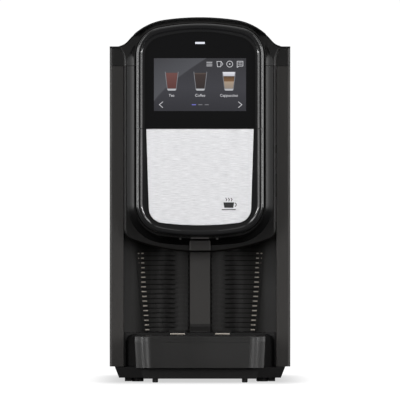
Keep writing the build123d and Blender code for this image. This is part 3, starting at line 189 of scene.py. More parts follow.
# every finish is kept under the record's slot and named for the real material and how it is made
plastics = {
    # spark-eroded ABS: an even charcoal sheen with no clear reflection
    "housing_grey": {"name": "sparked_abs_charcoal", "colour": "#1a1714", "roughness": (0.46, 0.54),
                     "grainMm": 0.7, "bump": 0.35},
    # satin ABS: nearly black, with soft highlights on its roundings
    "shroud_grey": {"name": "satin_abs_shroud", "colour": "#070605", "specular": 0.2, "roughness": (0.36, 0.42),
                    "grainMm": 0.8, "bump": 0.15},
    # matt ABS behind the cup: it takes the shade and hardly shines
    "liner_grey": {"name": "matt_abs_liner", "colour": "#151413", "specular": 0.25, "roughness": (0.55, 0.65),
                   "grainMm": 0.8, "bump": 0.2},
    # polished, lacquered ABS: long clear streaks along the dome
    "lid_black": {"name": "lacquered_abs_lid", "colour": "#060607", "roughness": (0.2, 0.26), "grainMm": 3.0,
                  "bump": 0.03, "coat": 0.4},
    # mirror-polished ABS: thin bright lines along the edges
    "bezel_gloss": {"name": "polished_abs_bezel", "colour": "#0a0a0b", "roughness": (0.16, 0.22), "grainMm": 4.0,
                    "bump": 0.02, "coat": 0.5},
    # moulded polypropylene: a soft bright streak on each round corner
    "tray_black": {"name": "moulded_polypropylene_tray", "colour": "#121110", "roughness": (0.3, 0.38),
                   "grainMm": 0.8, "bump": 0.1},
    # pale ABS trim; on the louvre tips and the grate bars its pale colour is a painted highlight
    "trim_grey": {"name": "painted_abs_trim", "colour": "#a29b92", "roughness": (0.3, 0.4), "grainMm": 1.0,
                  "bump": 0.05},
    # glass-filled nylon inside the machine: dull black
    "inner_plastic": {"name": "glass_filled_nylon", "colour": "#161616", "roughness": (0.42, 0.5), "grainMm": 0.9,
                      "bump": 0.2},
    # moulded ABS in its natural white: a clean soft shine
    "white_plastic": {"name": "moulded_abs_white", "colour": "#d6d5d0", "roughness": (0.35, 0.45), "grainMm": 1.0,
                      "bump": 0.08},
    # machined acetal: milky and slick
    "acetal_white": {"name": "machined_acetal", "colour": "#e2e1dc", "roughness": (0.3, 0.4), "grainMm": 1.0,
                     "bump": 0.05},
    # moulded polyamide: dull cream
    "pump_body": {"name": "moulded_polyamide_pump", "colour": "#c9c2b2", "roughness": (0.45, 0.55),
                  "grainMm": 1.0, "bump": 0.15},
    # moulded nitrile rubber: deep black with almost no shine
    "rubber_black": {"name": "moulded_nitrile_rubber", "colour": "#121212", "roughness": (0.75, 0.85),
                     "grainMm": 0.6, "bump": 0.4},
    # cast silicone: cloudy and smooth
    "silicone": {"name": "cast_silicone", "colour": "#cfd0cc", "roughness": (0.4, 0.5), "grainMm": 2.0,
                 "bump": 0.05},
    # solder mask on fibreglass: dark green with a low gloss
    "board_green": {"name": "solder_masked_fibreglass", "colour": "#123f26", "roughness": (0.35, 0.45),
                    "grainMm": 0.6, "bump": 0.15},
    # moulded nylon, worn smooth by fingers
    "rocker_black": {"name": "moulded_nylon_rocker", "colour": "#0c0c0c", "roughness": (0.25, 0.32),
                     "grainMm": 1.0, "bump": 0.05},
}
metals = {
    # stainless sheet brushed across: short bright and dull dashes, drawn coarser than they are so that they show
    "panel_steel": {"name": "brushed_stainless_panel", "dark": "#cfcfd1", "light": "#f8f8fa",
                    "roughness": (0.4, 0.52), "lineMm": 0.6, "stretch": (0.05, 1.0, 1.0), "bump": 0.25},
    # hot-dipped steel sheet: broad patches of two greys
    "galvanised": {"name": "galvanised_sheet", "dark": "#8f9294", "light": "#b5b8ba", "roughness": (0.35, 0.55),
                   "lineMm": 9.0, "stretch": (1.0, 1.0, 1.0), "bump": 0.1},
    # drawn stainless: bright, with fine lines along it
    "stainless": {"name": "drawn_stainless", "dark": "#b9b9b8", "light": "#d8d8d7", "roughness": (0.18, 0.28),
                  "lineMm": 0.5, "stretch": (1.0, 1.0, 0.05), "bump": 0.1},
    # blackened zinc plating: dark, half dull
    "zinc_screw": {"name": "black_zinc_screw", "dark": "#3c3c3e", "light": "#545456", "roughness": (0.3, 0.4),
                   "lineMm": 1.0, "stretch": (1.0, 1.0, 1.0), "bump": 0.1},
    # turned steel can of a small motor
    "motor_metal": {"name": "turned_steel_can", "dark": "#8d8d8e", "light": "#acacad", "roughness": (0.25, 0.38),
                    "lineMm": 1.0, "stretch": (1.0, 0.1, 1.0), "bump": 0.1},
    # turned brass: warm, with fine rings
    "brass_valve": {"name": "turned_brass", "dark": "#b08d4a", "light": "#cfae68", "roughness": (0.22, 0.34),
                    "lineMm": 0.8, "stretch": (1.0, 1.0, 0.1), "bump": 0.1},
}
clears = {
    # float glass printed black behind: a clear dark mirror
    "touch_glass": {"name": "black_printed_glass", "colour": "#060607", "clear": 0.0, "roughness": 0.05, "ior": 1.5},
    # moulded clear resin with a smoky tint
    "tank_clear": {"name": "moulded_clear_tank", "colour": "#b9c3c8", "clear": 0.75, "roughness": 0.12, "ior": 1.49},
}
lightGuide = {"name": "frosted_light_guide", "colour": "#f2f5ff", "strength": 0.9}  # acrylic, lit from inside
finishes = {}
for looks, makeFinish in ((plastics, mouldedPlastic), (metals, drawnMetal), (clears, clearSheet)):
    for slot, look in looks.items():
        finishes[slot] = makeFinish(look["name"], look)
finishes["light_guide"] = glowing(**lightGuide)

for part in frame["record"]["subparts"]:
    for place in nodes[part["node"]].material_slots:
        place.material = finishes[part["material_slot"]]

# the same resins where they are polished or toned differently, or darkened as painted shade
ownFinishes = {
    # the base pan's darker grey is painted shade under the tray's overhang
    "base_pan": {"name": "base_black_abs", "colour": "#0b0a0a", "specular": 0.22, "roughness": (0.5, 0.6),
                 "grainMm": 0.7, "bump": 0.3},
    # the bay's darker grey is painted shade in the pocket round the tray
    "tray_bay": {"name": "bay_black_abs", "colour": "#0b0a0a", "specular": 0.2, "roughness": (0.5, 0.6),
                 "grainMm": 0.7, "bump": 0.3},
    "top_cover": {"name": "cover_black_abs", "colour": "#0d0c0b", "specular": 0.32, "roughness": (0.36, 0.42),
                  "grainMm": 0.9, "bump": 0.12},
    "nozzle_housing": {"name": "nozzle_black_abs", "colour": "#1c1a18", "specular": 0.3, "roughness": (0.5, 0.58),
                       "grainMm": 0.7, "bump": 0.3},
    # the lens's pale grey is partly a painted highlight for the bright lower edge of the ring round the module
    "cup_light_lens": {"name": "smoked_lens_pc", "colour": "#4c4a49", "roughness": (0.2, 0.3), "grainMm": 2.0,
                       "bump": 0.02},
    "cup_sensor_lenses": {"name": "smoked_sensor_pc", "colour": "#3a3938", "roughness": (0.2, 0.3),
                          "grainMm": 2.0, "bump": 0.02},
}
for nodeName, look in ownFinishes.items():
    finish = mouldedPlastic(look["name"], look)
    for place in nodes[nodeName].material_slots:
        place.material = finish
print("finishes on the frame")


# the module's outline: straight sides, bowed top and bottom, round corners
module = {"halfMm": 77.4, "lowMm": 178.1, "highMm": 436.7, "lowBowMm": 10.0, "highBowMm": 12.0,
          "lowCornerMm": 36.0, "highCornerMm": 34.0, "frontMm": -184.0, "seamMm": 308.8}


def moduleOutline(insetMm, steps=12):
    # clockwise from the left side's foot, in millimetres; equal steps for every inset
    half, low, high = module["halfMm"] - insetMm, module["lowMm"] + insetMm, module["highMm"] - insetMm
    points = []
    for end, bow, corner, sense in ((high, module["highBowMm"], module["highCornerMm"] - insetMm, 1),
                                    (low, module["lowBowMm"], module["lowCornerMm"] - insetMm, -1)):
        bowRadius = (half * half + bow * bow) / (2 * bow)
        centreZ = end - sense * bowRadius
        cornerX = half - corner
        cornerZ = centreZ + sense * math.sqrt((bowRadius - corner) ** 2 - cornerX ** 2)
        tilt = math.atan2(cornerX, abs(cornerZ - centreZ))
        for side in (-sense, sense):
            turns = [(math.pi / 2 - tilt) * k / steps for k in range(steps + 1)]
            arc = [(side * (cornerX + corner * math.cos(a)), cornerZ + sense * corner * math.sin(a)) for a in turns]
            leans = [tilt * (1 - k / steps) for k in range(1, steps + 1)]
            bowed = [(side * bowRadius * math.sin(a), centreZ + sense * bowRadius * math.cos(a)) for a in leans]
            run = arc + bowed
            points += run if side == -sense else run[-2::-1]
    return points


def loftPiece(name, rings, body, material, closedRun=True, closedRings=False):
    # quads between rings of equal length; a run that isn't closed gets end faces
    count = len(rings[0])
    verts = [v for ring in rings for v in ring]
    faces = []
    last = len(rings) if closedRings else len(rings) - 1
    for r in range(last):
        a, b = r * count, (r + 1) % len(rings) * count
        for i in range(count if closedRun else count - 1):
            j = (i + 1) % count
            faces.append((a + i, a + j, b + j, b + i))
    if not closedRun and closedRings:
        faces.append([r * count for r in range(len(rings))])
        faces.append([r * count + count - 1 for r in reversed(range(len(rings)))])
    mesh = bmesh.new()
    made = [mesh.verts.new(v) for v in verts]
    for face in faces:
        mesh.faces.new([made[i] for i in face])
    bmesh.ops.recalc_face_normals(mesh, faces=mesh.faces)
    data = meshFrom(name, mesh, material)
    data.shade_smooth()
    data.set_sharp_from_angle(angle=math.radians(20))
    placePiece(data, body)


def cutRun(outlines, keepPoint):
    # the stretch of the outline whose points pass, started at its first point
    count = len(outlines[0])
    passes = [keepPoint(*outlines[0][i]) for i in range(count)]
    start = next(i for i in range(count) if passes[i] and not passes[i - 1])
    order = [(start + k) % count for k in range(count) if passes[(start + k) % count]]
    return [[outline[i] for i in order] for outline in outlines]


rimBand = {"ridgeMm": 5.5, "proudMm": 1.4, "facetMm": 1.8, "outerMm": 0.12, "roundMm": 2.6, "gapMm": 0.35,
           "backMm": 5.0, "innerMm": 2.2, "footMm": 0.6, "crownEaseMm": 0.05, "steps": 10,
           "ridgeEaseMm": ((-0.15, 0.0), (0.05, 0.06)), "facetEaseMm": 0.02}


def rimProfile():
    # (inset, y) round the raised rim: a crowned outside, a ridge, a facet that faces inwards and a hidden back
    front, proud, turn = module["frontMm"], rimBand["proudMm"], rimBand["roundMm"]
    ridge, facetEnd = rimBand["ridgeMm"], rimBand["ridgeMm"] + rimBand["facetMm"]
    rise = turn + proud - rimBand["crownEaseMm"]
    angles = [math.pi / 2 * k / rimBand["steps"] for k in range(rimBand["steps"] + 1)]
    crown = [(rimBand["outerMm"] + turn * (1 - math.cos(a)), front + turn - rise * math.sin(a)) for a in angles]
    top = [(ridge + across, front - proud + back) for across, back in rimBand["ridgeEaseMm"]]
    return [(rimBand["outerMm"], front + rimBand["backMm"])] + crown + top + [
        (facetEnd, front - rimBand["facetEaseMm"]), (facetEnd, front + rimBand["footMm"]),
        (rimBand["innerMm"], front + rimBand["backMm"])]


def buildRims():
    profile = rimProfile()
    for name, body, sense in (("display_rim", "housing", 1), ("door_rim", "pack_door", -1)):
        end = module["seamMm"] + sense * rimBand["gapMm"]
        outlines = [moduleOutline(inset) for inset, y in profile]
        middle = sum(z for x, z in outlines[0]) / len(outlines[0])
        rings = []
        for run, (inset, y) in zip(cutRun(outlines, lambda x, z: sense * (z - middle) > 0), profile):
            run = [(run[0][0], end)] + run + [(run[-1][0], end)]
            rings.append([(x * mm, y * mm, z * mm) for x, z in run])
        loftPiece(name, rings, body, finishes["bezel_gloss"], closedRun=False, closedRings=True)


cove = {"outMm": 11.6, "inMm": 2.9, "outYMm": -127.05, "tiltDegrees": (34, 68), "seamMm": 386.0, "gapMm": 0.3,
        "fadeMm": (392.0, 411.0), "fadePower": 1.5, "flatten": (0.97, 0.9), "backMm": 1.0, "underMm": 0.3,
        "steps": 12, "heightSteps": 8}
# polished mould: a dark hollow with a soft line of light along it
coveLook = {"colour": "#060606", "specular": 0.2, "roughness": (0.2, 0.26), "grainMm": 1.0, "bump": 0.04}


def buildCoves():
    # a hollow flare from the outer tier up to the lip round the module
    steps = cove["steps"]
    shares = [k / steps for k in range(steps + 1)]
    width = cove["outMm"] - cove["inMm"]
    lowTilt, highTilt = cove["tiltDegrees"]
    depths = [cove["outYMm"]]
    for share in shares[1:]:
        tilt = lowTilt + (highTilt - lowTilt) * (share - 0.5 / steps)
        depths.append(depths[-1] - width / steps * math.tan(math.radians(tilt)))
    # round the module's foot, up to the cover's seam, with a last ring hidden behind
    insets = [-(cove["outMm"] - width * share) for share in shares] + [-cove["inMm"]]
    middle = (module["lowMm"] + module["highMm"]) / 2
    end = cove["seamMm"] - cove["gapMm"]
    rings = []
    for inset, depth in zip(insets, depths + [cove["outYMm"] + cove["backMm"]]):
        run = cutRun([moduleOutline(inset)], lambda x, z: z < middle)[0]
        run = [(run[0][0], end)] + run + [(run[-1][0], end)]
        rings.append([(x * mm, depth * mm, z * mm) for x, z in run])
    finish = mouldedPlastic("polished_cove_abs", coveLook)
    loftPiece("shroud_cove", rings, "housing", finish, closedRun=False, closedRings=True)
    # beside the cover, where the flare dies away upwards
    low, high = cove["fadeMm"]
    count = cove["heightSteps"]
    heights = [cove["seamMm"] + cove["gapMm"]] + [low + (high - low) * k / count for k in range(count + 1)]
    for side, word in ((-1, "left"), (1, "right")):
        rings = []
        for share, depth in zip(shares, depths):
            ring = []
            for z in heights:
                fade = min(1.0, max(0.0, (z - low) / (high - low))) ** cove["fadePower"]
                x = module["halfMm"] + cove["inMm"] + width * (1 - cove["flatten"][0] * fade) * (1 - share)
                rise = (depth - cove["outYMm"]) * (1 - cove["flatten"][1] * fade)
                ring.append((side * x * mm, (cove["outYMm"] + rise) * mm, z * mm))
            rings.append(ring)
        inner = side * (module["halfMm"] + cove["inMm"] - cove["underMm"])
        rings.append([(inner * mm, (cove["outYMm"] + cove["backMm"]) * mm, z * mm) for z in heights])
        loftPiece(f"cover_cove_{word}", rings, "housing", finish,
                  closedRun=False, closedRings=True)


buildRims()
buildCoves()
print("rims and coves")


# slats, slots and pale tips that follow the wall behind the cup, from Geometry Nodes; the slots' near-black is
# painted shade and the tips' pale colour a painted highlight
louvre = {"count": 17, "pitchMm": 5.85, "firstMm": 62.5, "reachMm": (67.5, 77.0), "postMm": 13.6,
          "columnMm": -112.0, "splits": 12}
# each row's section (high, deep), how far it stands off the wall, its lift, and a length where it isn't full
louvreRows = {
    "louvre_slats": {"sizeMm": (2.6, 1.5), "forwardMm": 1.0, "liftMm": 0.0},
    # the slots are near-black strips that stand for painted shade between the slats
    "louvre_slots_painted_shade": {"sizeMm": (1.5, 0.5), "forwardMm": 0.5, "liftMm": 2.925},
    # the tips' pale colour is a painted highlight on the slat ends
    "louvre_tips_painted_highlight": {"sizeMm": (1.25, 1.0), "forwardMm": 1.9, "liftMm": 0.6, "lengthMm": (8.5, 12.0)},
}
# the wall's plan from the column in to the post: out from the middle, and behind the column
wallRunMm = [(92.7, 3.0), (88.2, 5.5), (79.0, 11.0), (66.0, 29.0), (59.0, 38.0), (47.0, 47.0), (33.0, 41.5),
             (13.0, 38.5)]


def wallCurve(forwardMm):
    # the wall's line from the post out to the column, as an even run of points in millimetres
    points = [Vector((x, louvre["columnMm"] + y - forwardMm, 0)) for x, y in reversed(wallRunMm)]
    run = []
    for i in range(len(points) - 1):
        before, after = points[max(i - 1, 0)], points[min(i + 2, len(points) - 1)]
        a, b = points[i], points[i + 1]
        for k in range(louvre["splits"]):
            t = k / louvre["splits"]
            run.append(0.5 * (2 * a + (b - before) * t + (2 * before - 5 * a + 4 * b - after) * t * t
                       + (3 * a - before - 3 * b + after) * t ** 3))
    return run + [points[-1]]


def lengthAt(run, xMm):
    total = 0.0
    for a, b in zip(run, run[1:]):
        if b.x >= xMm:
            return total + (b - a).length * (xMm - a.x) / (b.x - a.x)
        total += (b - a).length
    return total


def louvreTree():
    tree = bpy.data.node_groups.new("louvre_rows", "GeometryNodeTree")
    face = tree.interface
    face.new_socket("Geometry", in_out="INPUT", socket_type="NodeSocketGeometry")
    face.new_socket("Count", in_out="INPUT", socket_type="NodeSocketInt")
    for name in ("Pitch", "First Height", "Start Low", "Start High", "End Low", "End High", "Height", "Depth"):
        face.new_socket(name, in_out="INPUT", socket_type="NodeSocketFloat")
    face.new_socket("Material", in_out="INPUT", socket_type="NodeSocketMaterial")
    face.new_socket("Geometry", in_out="OUTPUT", socket_type="NodeSocketGeometry")
    given = addNode(tree, "NodeGroupInput").outputs
    step = addNode(tree, "ShaderNodeCombineXYZ", links={"Z": given["Pitch"]})
    start = addNode(tree, "ShaderNodeCombineXYZ", links={"Z": given["First Height"]})
    rows = addNode(tree, "GeometryNodeMeshLine", {"mode": "OFFSET"},
                   {"Count": given["Count"], "Start Location": start.outputs[0], "Offset": step.outputs[0]})
    line = addNode(tree, "GeometryNodeMeshToCurve", links={"Mesh": given["Geometry"]})
    placed = addNode(tree, "GeometryNodeInstanceOnPoints",
                     links={"Points": rows.outputs["Mesh"], "Instance": line.outputs["Curve"]})
    curves = addNode(tree, "GeometryNodeRealizeInstances", links={"Geometry": placed.outputs["Instances"]})
    # a row's share of the whole height sets where it starts and ends along the wall
    position = addNode(tree, "GeometryNodeInputPosition")
    height = addNode(tree, "ShaderNodeSeparateXYZ", links={"Vector": position.outputs[0]})
    rise = addNode(tree, "ShaderNodeMath", {"operation": "SUBTRACT"},
                   {0: height.outputs["Z"], 1: given["First Height"]})
    span = addNode(tree, "ShaderNodeMath", {"operation": "MULTIPLY"}, {0: given["Count"], 1: given["Pitch"]})
    share = addNode(tree, "ShaderNodeMath", {"operation": "DIVIDE"}, {0: rise.outputs[0], 1: span.outputs[0]})
    limits = []
    for word in ("Start", "End"):
        mix = addNode(tree, "ShaderNodeMix", {"data_type": "FLOAT"},
                      {0: share.outputs[0], 2: given[f"{word} Low"], 3: given[f"{word} High"]})
        limits.append(mix.outputs[0])
    trim = addNode(tree, "GeometryNodeTrimCurve", {"mode": "LENGTH"}, {"Curve": curves.outputs["Geometry"]})
    lengthSockets = [socket for socket in trim.inputs if socket.name in ("Start", "End") and socket.enabled]
    for limit, socket in zip(limits, lengthSockets):
        tree.links.new(limit, socket)
    upright = addNode(tree, "GeometryNodeSetCurveNormal", {"mode": "Z_UP"}, {"Curve": trim.outputs["Curve"]})
    section = addNode(tree, "GeometryNodeCurvePrimitiveQuadrilateral",
                      links={"Width": given["Depth"], "Height": given["Height"]})
    solid = addNode(tree, "GeometryNodeCurveToMesh", {"Fill Caps": True},
                    {"Curve": upright.outputs["Curve"], "Profile Curve": section.outputs["Curve"]})
    plain = addNode(tree, "GeometryNodeRealizeInstances", links={"Geometry": solid.outputs["Mesh"]})
    flat = addNode(tree, "GeometryNodeSetShadeSmooth", {"Shade Smooth": False},
                   {"Geometry": plain.outputs["Geometry"]})
    finish = addNode(tree, "GeometryNodeSetMaterial",
                     links={"Geometry": flat.outputs["Geometry"], "Material": given["Material"]})
    addNode(tree, "NodeGroupOutput", links={"Geometry": finish.outputs["Geometry"]})
    return tree


def grownPiece(name, seed, tree, values, body):
    # runs a node tree on a seed mesh and keeps the plain result
    maker = bpy.data.objects.new("maker", seed)
    bpy.context.scene.collection.objects.link(maker)
    modifier = maker.modifiers.new("grow", "NODES")
    modifier.node_group = tree
    for item in tree.interface.items_tree:
        if item.item_type == "SOCKET" and item.in_out == "INPUT" and item.name in values:
            modifier[item.identifier] = values[item.name]
    graph = bpy.context.evaluated_depsgraph_get()
    mesh = bpy.data.meshes.new_from_object(maker.evaluated_get(graph))
    maker.modifiers.remove(modifier)
    bpy.data.objects.remove(maker)
    mesh.name = name
    placePiece(mesh, body)


def wallSeed(run):
    # the wall's line on both sides of the post, as loose edges
    seed = bpy.data.meshes.new("wall_run")
    count = len(run)
    verts = [(x * side * mm, y * mm, 0) for side in (1, -1) for x, y, z in run]
    edges = [(k * count + i, k * count + i + 1) for k in (0, 1) for i in range(count - 1)]
    seed.from_pydata(verts, edges, [])
    return seed


def buildLouvres():
    tree = louvreTree()
    # near-black strips in the slots: painted shade deep in the slots, with no shine at all
    slotShadeFinish = mouldedPlastic("louvre_slot_painted_shade_black", {"colour": "#040404", "specular": 0.05, "roughness": (0.8, 0.9),
                                                      "grainMm": 1.0, "bump": 0.1})
    wear = {"louvre_slats": (finishes["liner_grey"], "liner_grey"), "louvre_slots_painted_shade": (slotShadeFinish, "inner_plastic"),
            # the pale trim on the tips is a painted highlight
            "louvre_tips_painted_highlight": (finishes["trim_grey"], "trim_grey")}
    for name, row in louvreRows.items():
        finish, slotName = wear[name]
        run = wallCurve(row["forwardMm"])
        ends = [lengthAt(run, x) for x in louvre["reachMm"]]
        first = lengthAt(run, louvre["postMm"])
        starts = (first, first)
        if "lengthMm" in row:
            starts = [end - length for end, length in zip(ends, row["lengthMm"])]
        values = {"Count": louvre["count"], "Pitch": louvre["pitchMm"] * mm,
                  "First Height": (louvre["firstMm"] + row["liftMm"]) * mm,
                  "Start Low": starts[0] * mm, "Start High": starts[1] * mm,
                  "End Low": ends[0] * mm, "End High": ends[1] * mm,
                  "Height": row["sizeMm"][0] * mm, "Depth": row["sizeMm"][1] * mm, "Material": finish}
        grownPiece(name, wallSeed(run), tree, values, "housing")


buildLouvres()
print("louvres")


def boxShape(x, z, wide, high):
    return [(x - wide / 2, z - high / 2), (x + wide / 2, z - high / 2), (x + wide / 2, z + high / 2),
            (x - wide / 2, z + high / 2)]


def discShape(x, z, radius, steps=24):
    return [(x + radius * math.cos(2 * math.pi * i / steps), z + radius * math.sin(2 * math.pi * i / steps))
            for i in range(steps)]


def ringShapes(x, z, radius, thick, start=0.0, sweep=360.0, steps=24):
    # a ring or an arc, as short quads
    shapes = []
    for i in range(steps):
        a, b = [math.radians(start + sweep * k / steps) for k in (i, i + 1)]
        shapes.append([(x + r * math.cos(t), z + r * math.sin(t))
                       for r, t in ((radius, a), (radius, b), (radius - thick, b), (radius - thick, a))])
    return shapes


def strokeShapes(points, thick):
    # straight strokes of one width through the points
    shapes = []
    for (ax, az), (bx, bz) in zip(points, points[1:]):
        length = math.hypot(bx - ax, bz - az)
        nx, nz = -(bz - az) / length * thick / 2, (bx - ax) / length * thick / 2
        ex, ez = (bx - ax) / length * thick / 2, (bz - az) / length * thick / 2
        shapes.append([(ax - ex + nx, az - ez + nz), (ax - ex - nx, az - ez - nz), (bx + ex - nx, bz + ez - nz),
                       (bx + ex + nx, bz + ez + nz)])
    return shapes


def markPiece(name, outlines, y, body, material, thickMm=0.4):
    # flat shapes with a little thickness, raised from the surface behind them
    mesh = bmesh.new()
    for outline in outlines:
        front = [mesh.verts.new((x * mm, (y - thickMm) * mm, z * mm)) for x, z in outline]
        back = [mesh.verts.new((x * mm, y * mm, z * mm)) for x, z in outline]
        mesh.faces.new(front)
        mesh.faces.new(list(reversed(back)))
        for i in range(len(front)):
            j = (i + 1) % len(front)
            mesh.faces.new((front[i], back[i], back[j], front[j]))
    bmesh.ops.recalc_face_normals(mesh, faces=mesh.faces)
    placePiece(meshFrom(name, mesh, material), body)


post = {"halfMm": 12.2, "lowMm": 70.0, "highMm": 158.0, "thickMm": 0.5, "liftMm": 0.02, "nearMm": 13.5,
        "aboveMm": 100.0}


def buildPostCover():
    # a plain satin cover over the middle post, up to the shroud
    liner = nodes["recess_liner"].data
    onPost = [v.co.y for v in liner.vertices
              if abs(v.co.x) < post["nearMm"] * mm and v.co.z > post["aboveMm"] * mm]
    front = min(onPost) / mm + post["liftMm"]
    half, low, high = post["halfMm"], post["lowMm"], post["highMm"]
    markPiece("post_cover", [[(-half, low), (half, low), (half, high), (-half, high)]], front, "housing",
              finishes["housing_grey"], post["thickMm"])


# the cup mark: its middle, and its cup, steam, handle and saucer line round that
cupMark = {"placeMm": (35.0, 216.0), "cupMm": ((-6.5, 3.2), (-5.4, -3.4), (5.4, -3.4), (6.5, 3.2)),
           "steamMm": (-3.2, 0, 3.2), "curlMm": ((0, 5.0), (0.8, 6.6), (-0.4, 8.2)), "lineMm": 0.9,
           "handleMm": (7.0, 0.4, 2.6, 1.0), "saucerMm": (-5.6, 17.0, 1.1), "inMm": 0.02, "thickMm": 0.06}


def buildCupMark():
    # a plain cup with a saucer line and steam, etched dark into the steel
    ink = mouldedPlastic("etched_black_mark", {"colour": "#0d0d0e", "roughness": (0.5, 0.6), "grainMm": 1.0,
                                               "bump": 0.1})
    x, z = cupMark["placeMm"]
    shapes = [[(x + across, z + up) for across, up in cupMark["cupMm"]]]
    for puff in cupMark["steamMm"]:
        shapes += strokeShapes([(x + puff + across, z + up) for across, up in cupMark["curlMm"]], cupMark["lineMm"])
    across, up, radius, thick = cupMark["handleMm"]
    shapes += ringShapes(x + across, z + up, radius, thick, -80, 160, 10)
    drop, wide, high = cupMark["saucerMm"]
    shapes.append(boxShape(x, z + drop, wide, high))
    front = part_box("door_steel_panel")[0][1] / mm
    markPiece("door_cup_mark", shapes, front + cupMark["inMm"], "pack_door", ink, cupMark["thickMm"])


stopBar = {"outMm": 27.5, "heightMm": 58.4, "sizeMm": (18.0, 1.3), "fromBackMm": 1.8, "thickMm": 1.2}


def buildStopBars():
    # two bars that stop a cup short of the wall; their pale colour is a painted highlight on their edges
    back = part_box("drip_grate")[1][1] / mm
    bars = [boxShape(side * stopBar["outMm"], stopBar["heightMm"], *stopBar["sizeMm"]) for side in (-1, 1)]
    markPiece("grate_stop_bars_painted_highlight", bars, back - stopBar["fromBackMm"], "grate", finishes["trim_grey"],
              stopBar["thickMm"])


buildPostCover()
buildCupMark()
buildStopBars()
print("marks")


screen = {"centreMm": (0.0, 362.4), "sizeMm": (112.0, 64.2), "gapMm": 0.03, "layerMm": 0.012}
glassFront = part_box("touch_glass")[0][1]


def onScreen(x, z, layer):
    # a point in the picture's own millimetres, from its centre
    depth = glassFront - (screen["gapMm"] + layer * screen["layerMm"]) * mm
    return (x + screen["centreMm"][0]) * mm, depth, (z + screen["centreMm"][1]) * mm


def flatPiece(name, outlines, layer, material):
    # closed outlines in picture millimetres, as one thin sheet facing the front
    mesh = bmesh.new()
    for outline in outlines:
        face = mesh.faces.new([mesh.verts.new(onScreen(x, z, layer)) for x, z in outline])
        face.normal_update()
        if face.normal.y > 0:
            face.normal_flip()
    bmesh.ops.triangulate(mesh, faces=mesh.faces)
    placePiece(meshFrom(name, mesh, material), "housing")


def litSurface(shader):
    # a display's face: black where it is off, and its own colour at full strength where it is lit
    shader.inputs["Emission Strength"].default_value = 1.0
    shader.inputs["Base Color"].default_value = hexColour("#050506")
    shader.inputs["Roughness"].default_value = 0.3


# the sheen's edge runs from the lower left corner to the middle of the top
backdrop = {"low": "#25252b", "middle": "#35353b", "high": "#2c2c30", "middleAt": 0.45, "sheen": "#4a4b50",
            "edgePower": 1.5, "edgeSpan": 0.62, "edgeStart": -0.04, "edgeBlur": 0.02, "fadeOver": 0.6, "fadeTo": 0.25}


# Backlit picture: a slate gradient with a lighter sheen over its upper left, which is a painted reflection on the
# glass
def screenBackdrop():
    material, tree, shader, place = newMaterial("backlit_slate_with_painted_reflection")
    axes = addNode(tree, "ShaderNodeSeparateXYZ", links={"Vector": place})
    halfWide, halfHigh = screen["sizeMm"][0] / 2 * mm, screen["sizeMm"][1] / 2 * mm
    middle = screen["centreMm"][1] * mm
    across = addNode(tree, "ShaderNodeMapRange", {"From Min": -halfWide, "From Max": halfWide},
                     {"Value": axes.outputs["X"]})
    up = addNode(tree, "ShaderNodeMapRange", {"From Min": middle - halfHigh, "From Max": middle + halfHigh},
                 {"Value": axes.outputs["Z"]})
    bent = addNode(tree, "ShaderNodeMath", {"operation": "POWER"}, {0: up.outputs["Result"]})
    bent.inputs[1].default_value = backdrop["edgePower"]
    edge = addNode(tree, "ShaderNodeMath", {"operation": "MULTIPLY_ADD"}, {0: bent.outputs["Value"]})
    edge.inputs[1].default_value = backdrop["edgeSpan"]
    edge.inputs[2].default_value = backdrop["edgeStart"]
    side = addNode(tree, "ShaderNodeMath", {"operation": "SUBTRACT"},
                   {0: edge.outputs["Value"], 1: across.outputs["Result"]})
    sheen = addNode(tree, "ShaderNodeMapRange", {"From Min": 0.0, "From Max": backdrop["edgeBlur"]},
                    {"Value": side.outputs["Value"]})
    fade = addNode(tree, "ShaderNodeMapRange", {"From Min": 0.0, "From Max": backdrop["fadeOver"], "To Min": 1.0,
                   "To Max": backdrop["fadeTo"]}, {"Value": side.outputs["Value"]})
    amount = addNode(tree, "ShaderNodeMath", {"operation": "MULTIPLY"},
                     {0: sheen.outputs["Result"], 1: fade.outputs["Result"]})
    base = addNode(tree, "ShaderNodeValToRGB", links={"Fac": up.outputs["Result"]})
    base.color_ramp.elements[0].color = hexColour(backdrop["low"])
    base.color_ramp.elements[1].color = hexColour(backdrop["high"])
    middleStop = base.color_ramp.elements.new(backdrop["middleAt"])
    middleStop.color = hexColour(backdrop["middle"])
    mix = addNode(tree, "ShaderNodeMix", {"data_type": "RGBA"},
                  {0: amount.outputs["Value"], 6: base.outputs["Color"]})
    mix.inputs[7].default_value = hexColour(backdrop["sheen"])
    tree.links.new(mix.outputs[2], shader.inputs["Emission Color"])
    litSurface(shader)
    return material


# Lit picture colours: one that fades from a hex to another up a glass, or one that is even all over
def pictureInk(name, low, high, lowZ, highZ):
    material, tree, shader, place = newMaterial(name)
    axes = addNode(tree, "ShaderNodeSeparateXYZ", links={"Vector": place})
    bottom, top = [(z + screen["centreMm"][1]) * mm for z in (lowZ, highZ)]
    up = addNode(tree, "ShaderNodeMapRange", {"From Min": bottom, "From Max": top}, {"Value": axes.outputs["Z"]})
    ramp = addNode(tree, "ShaderNodeValToRGB", links={"Fac": up.outputs["Result"]})
    ramp.color_ramp.elements[0].color = hexColour(low)
    ramp.color_ramp.elements[1].color = hexColour(high)
    tree.links.new(ramp.outputs["Color"], shader.inputs["Emission Color"])
    litSurface(shader)
    return material


def evenInk(name, colour):
    material, tree, shader, place = newMaterial(name)
    shader.inputs["Emission Color"].default_value = hexColour(colour)
    litSurface(shader)
    return material


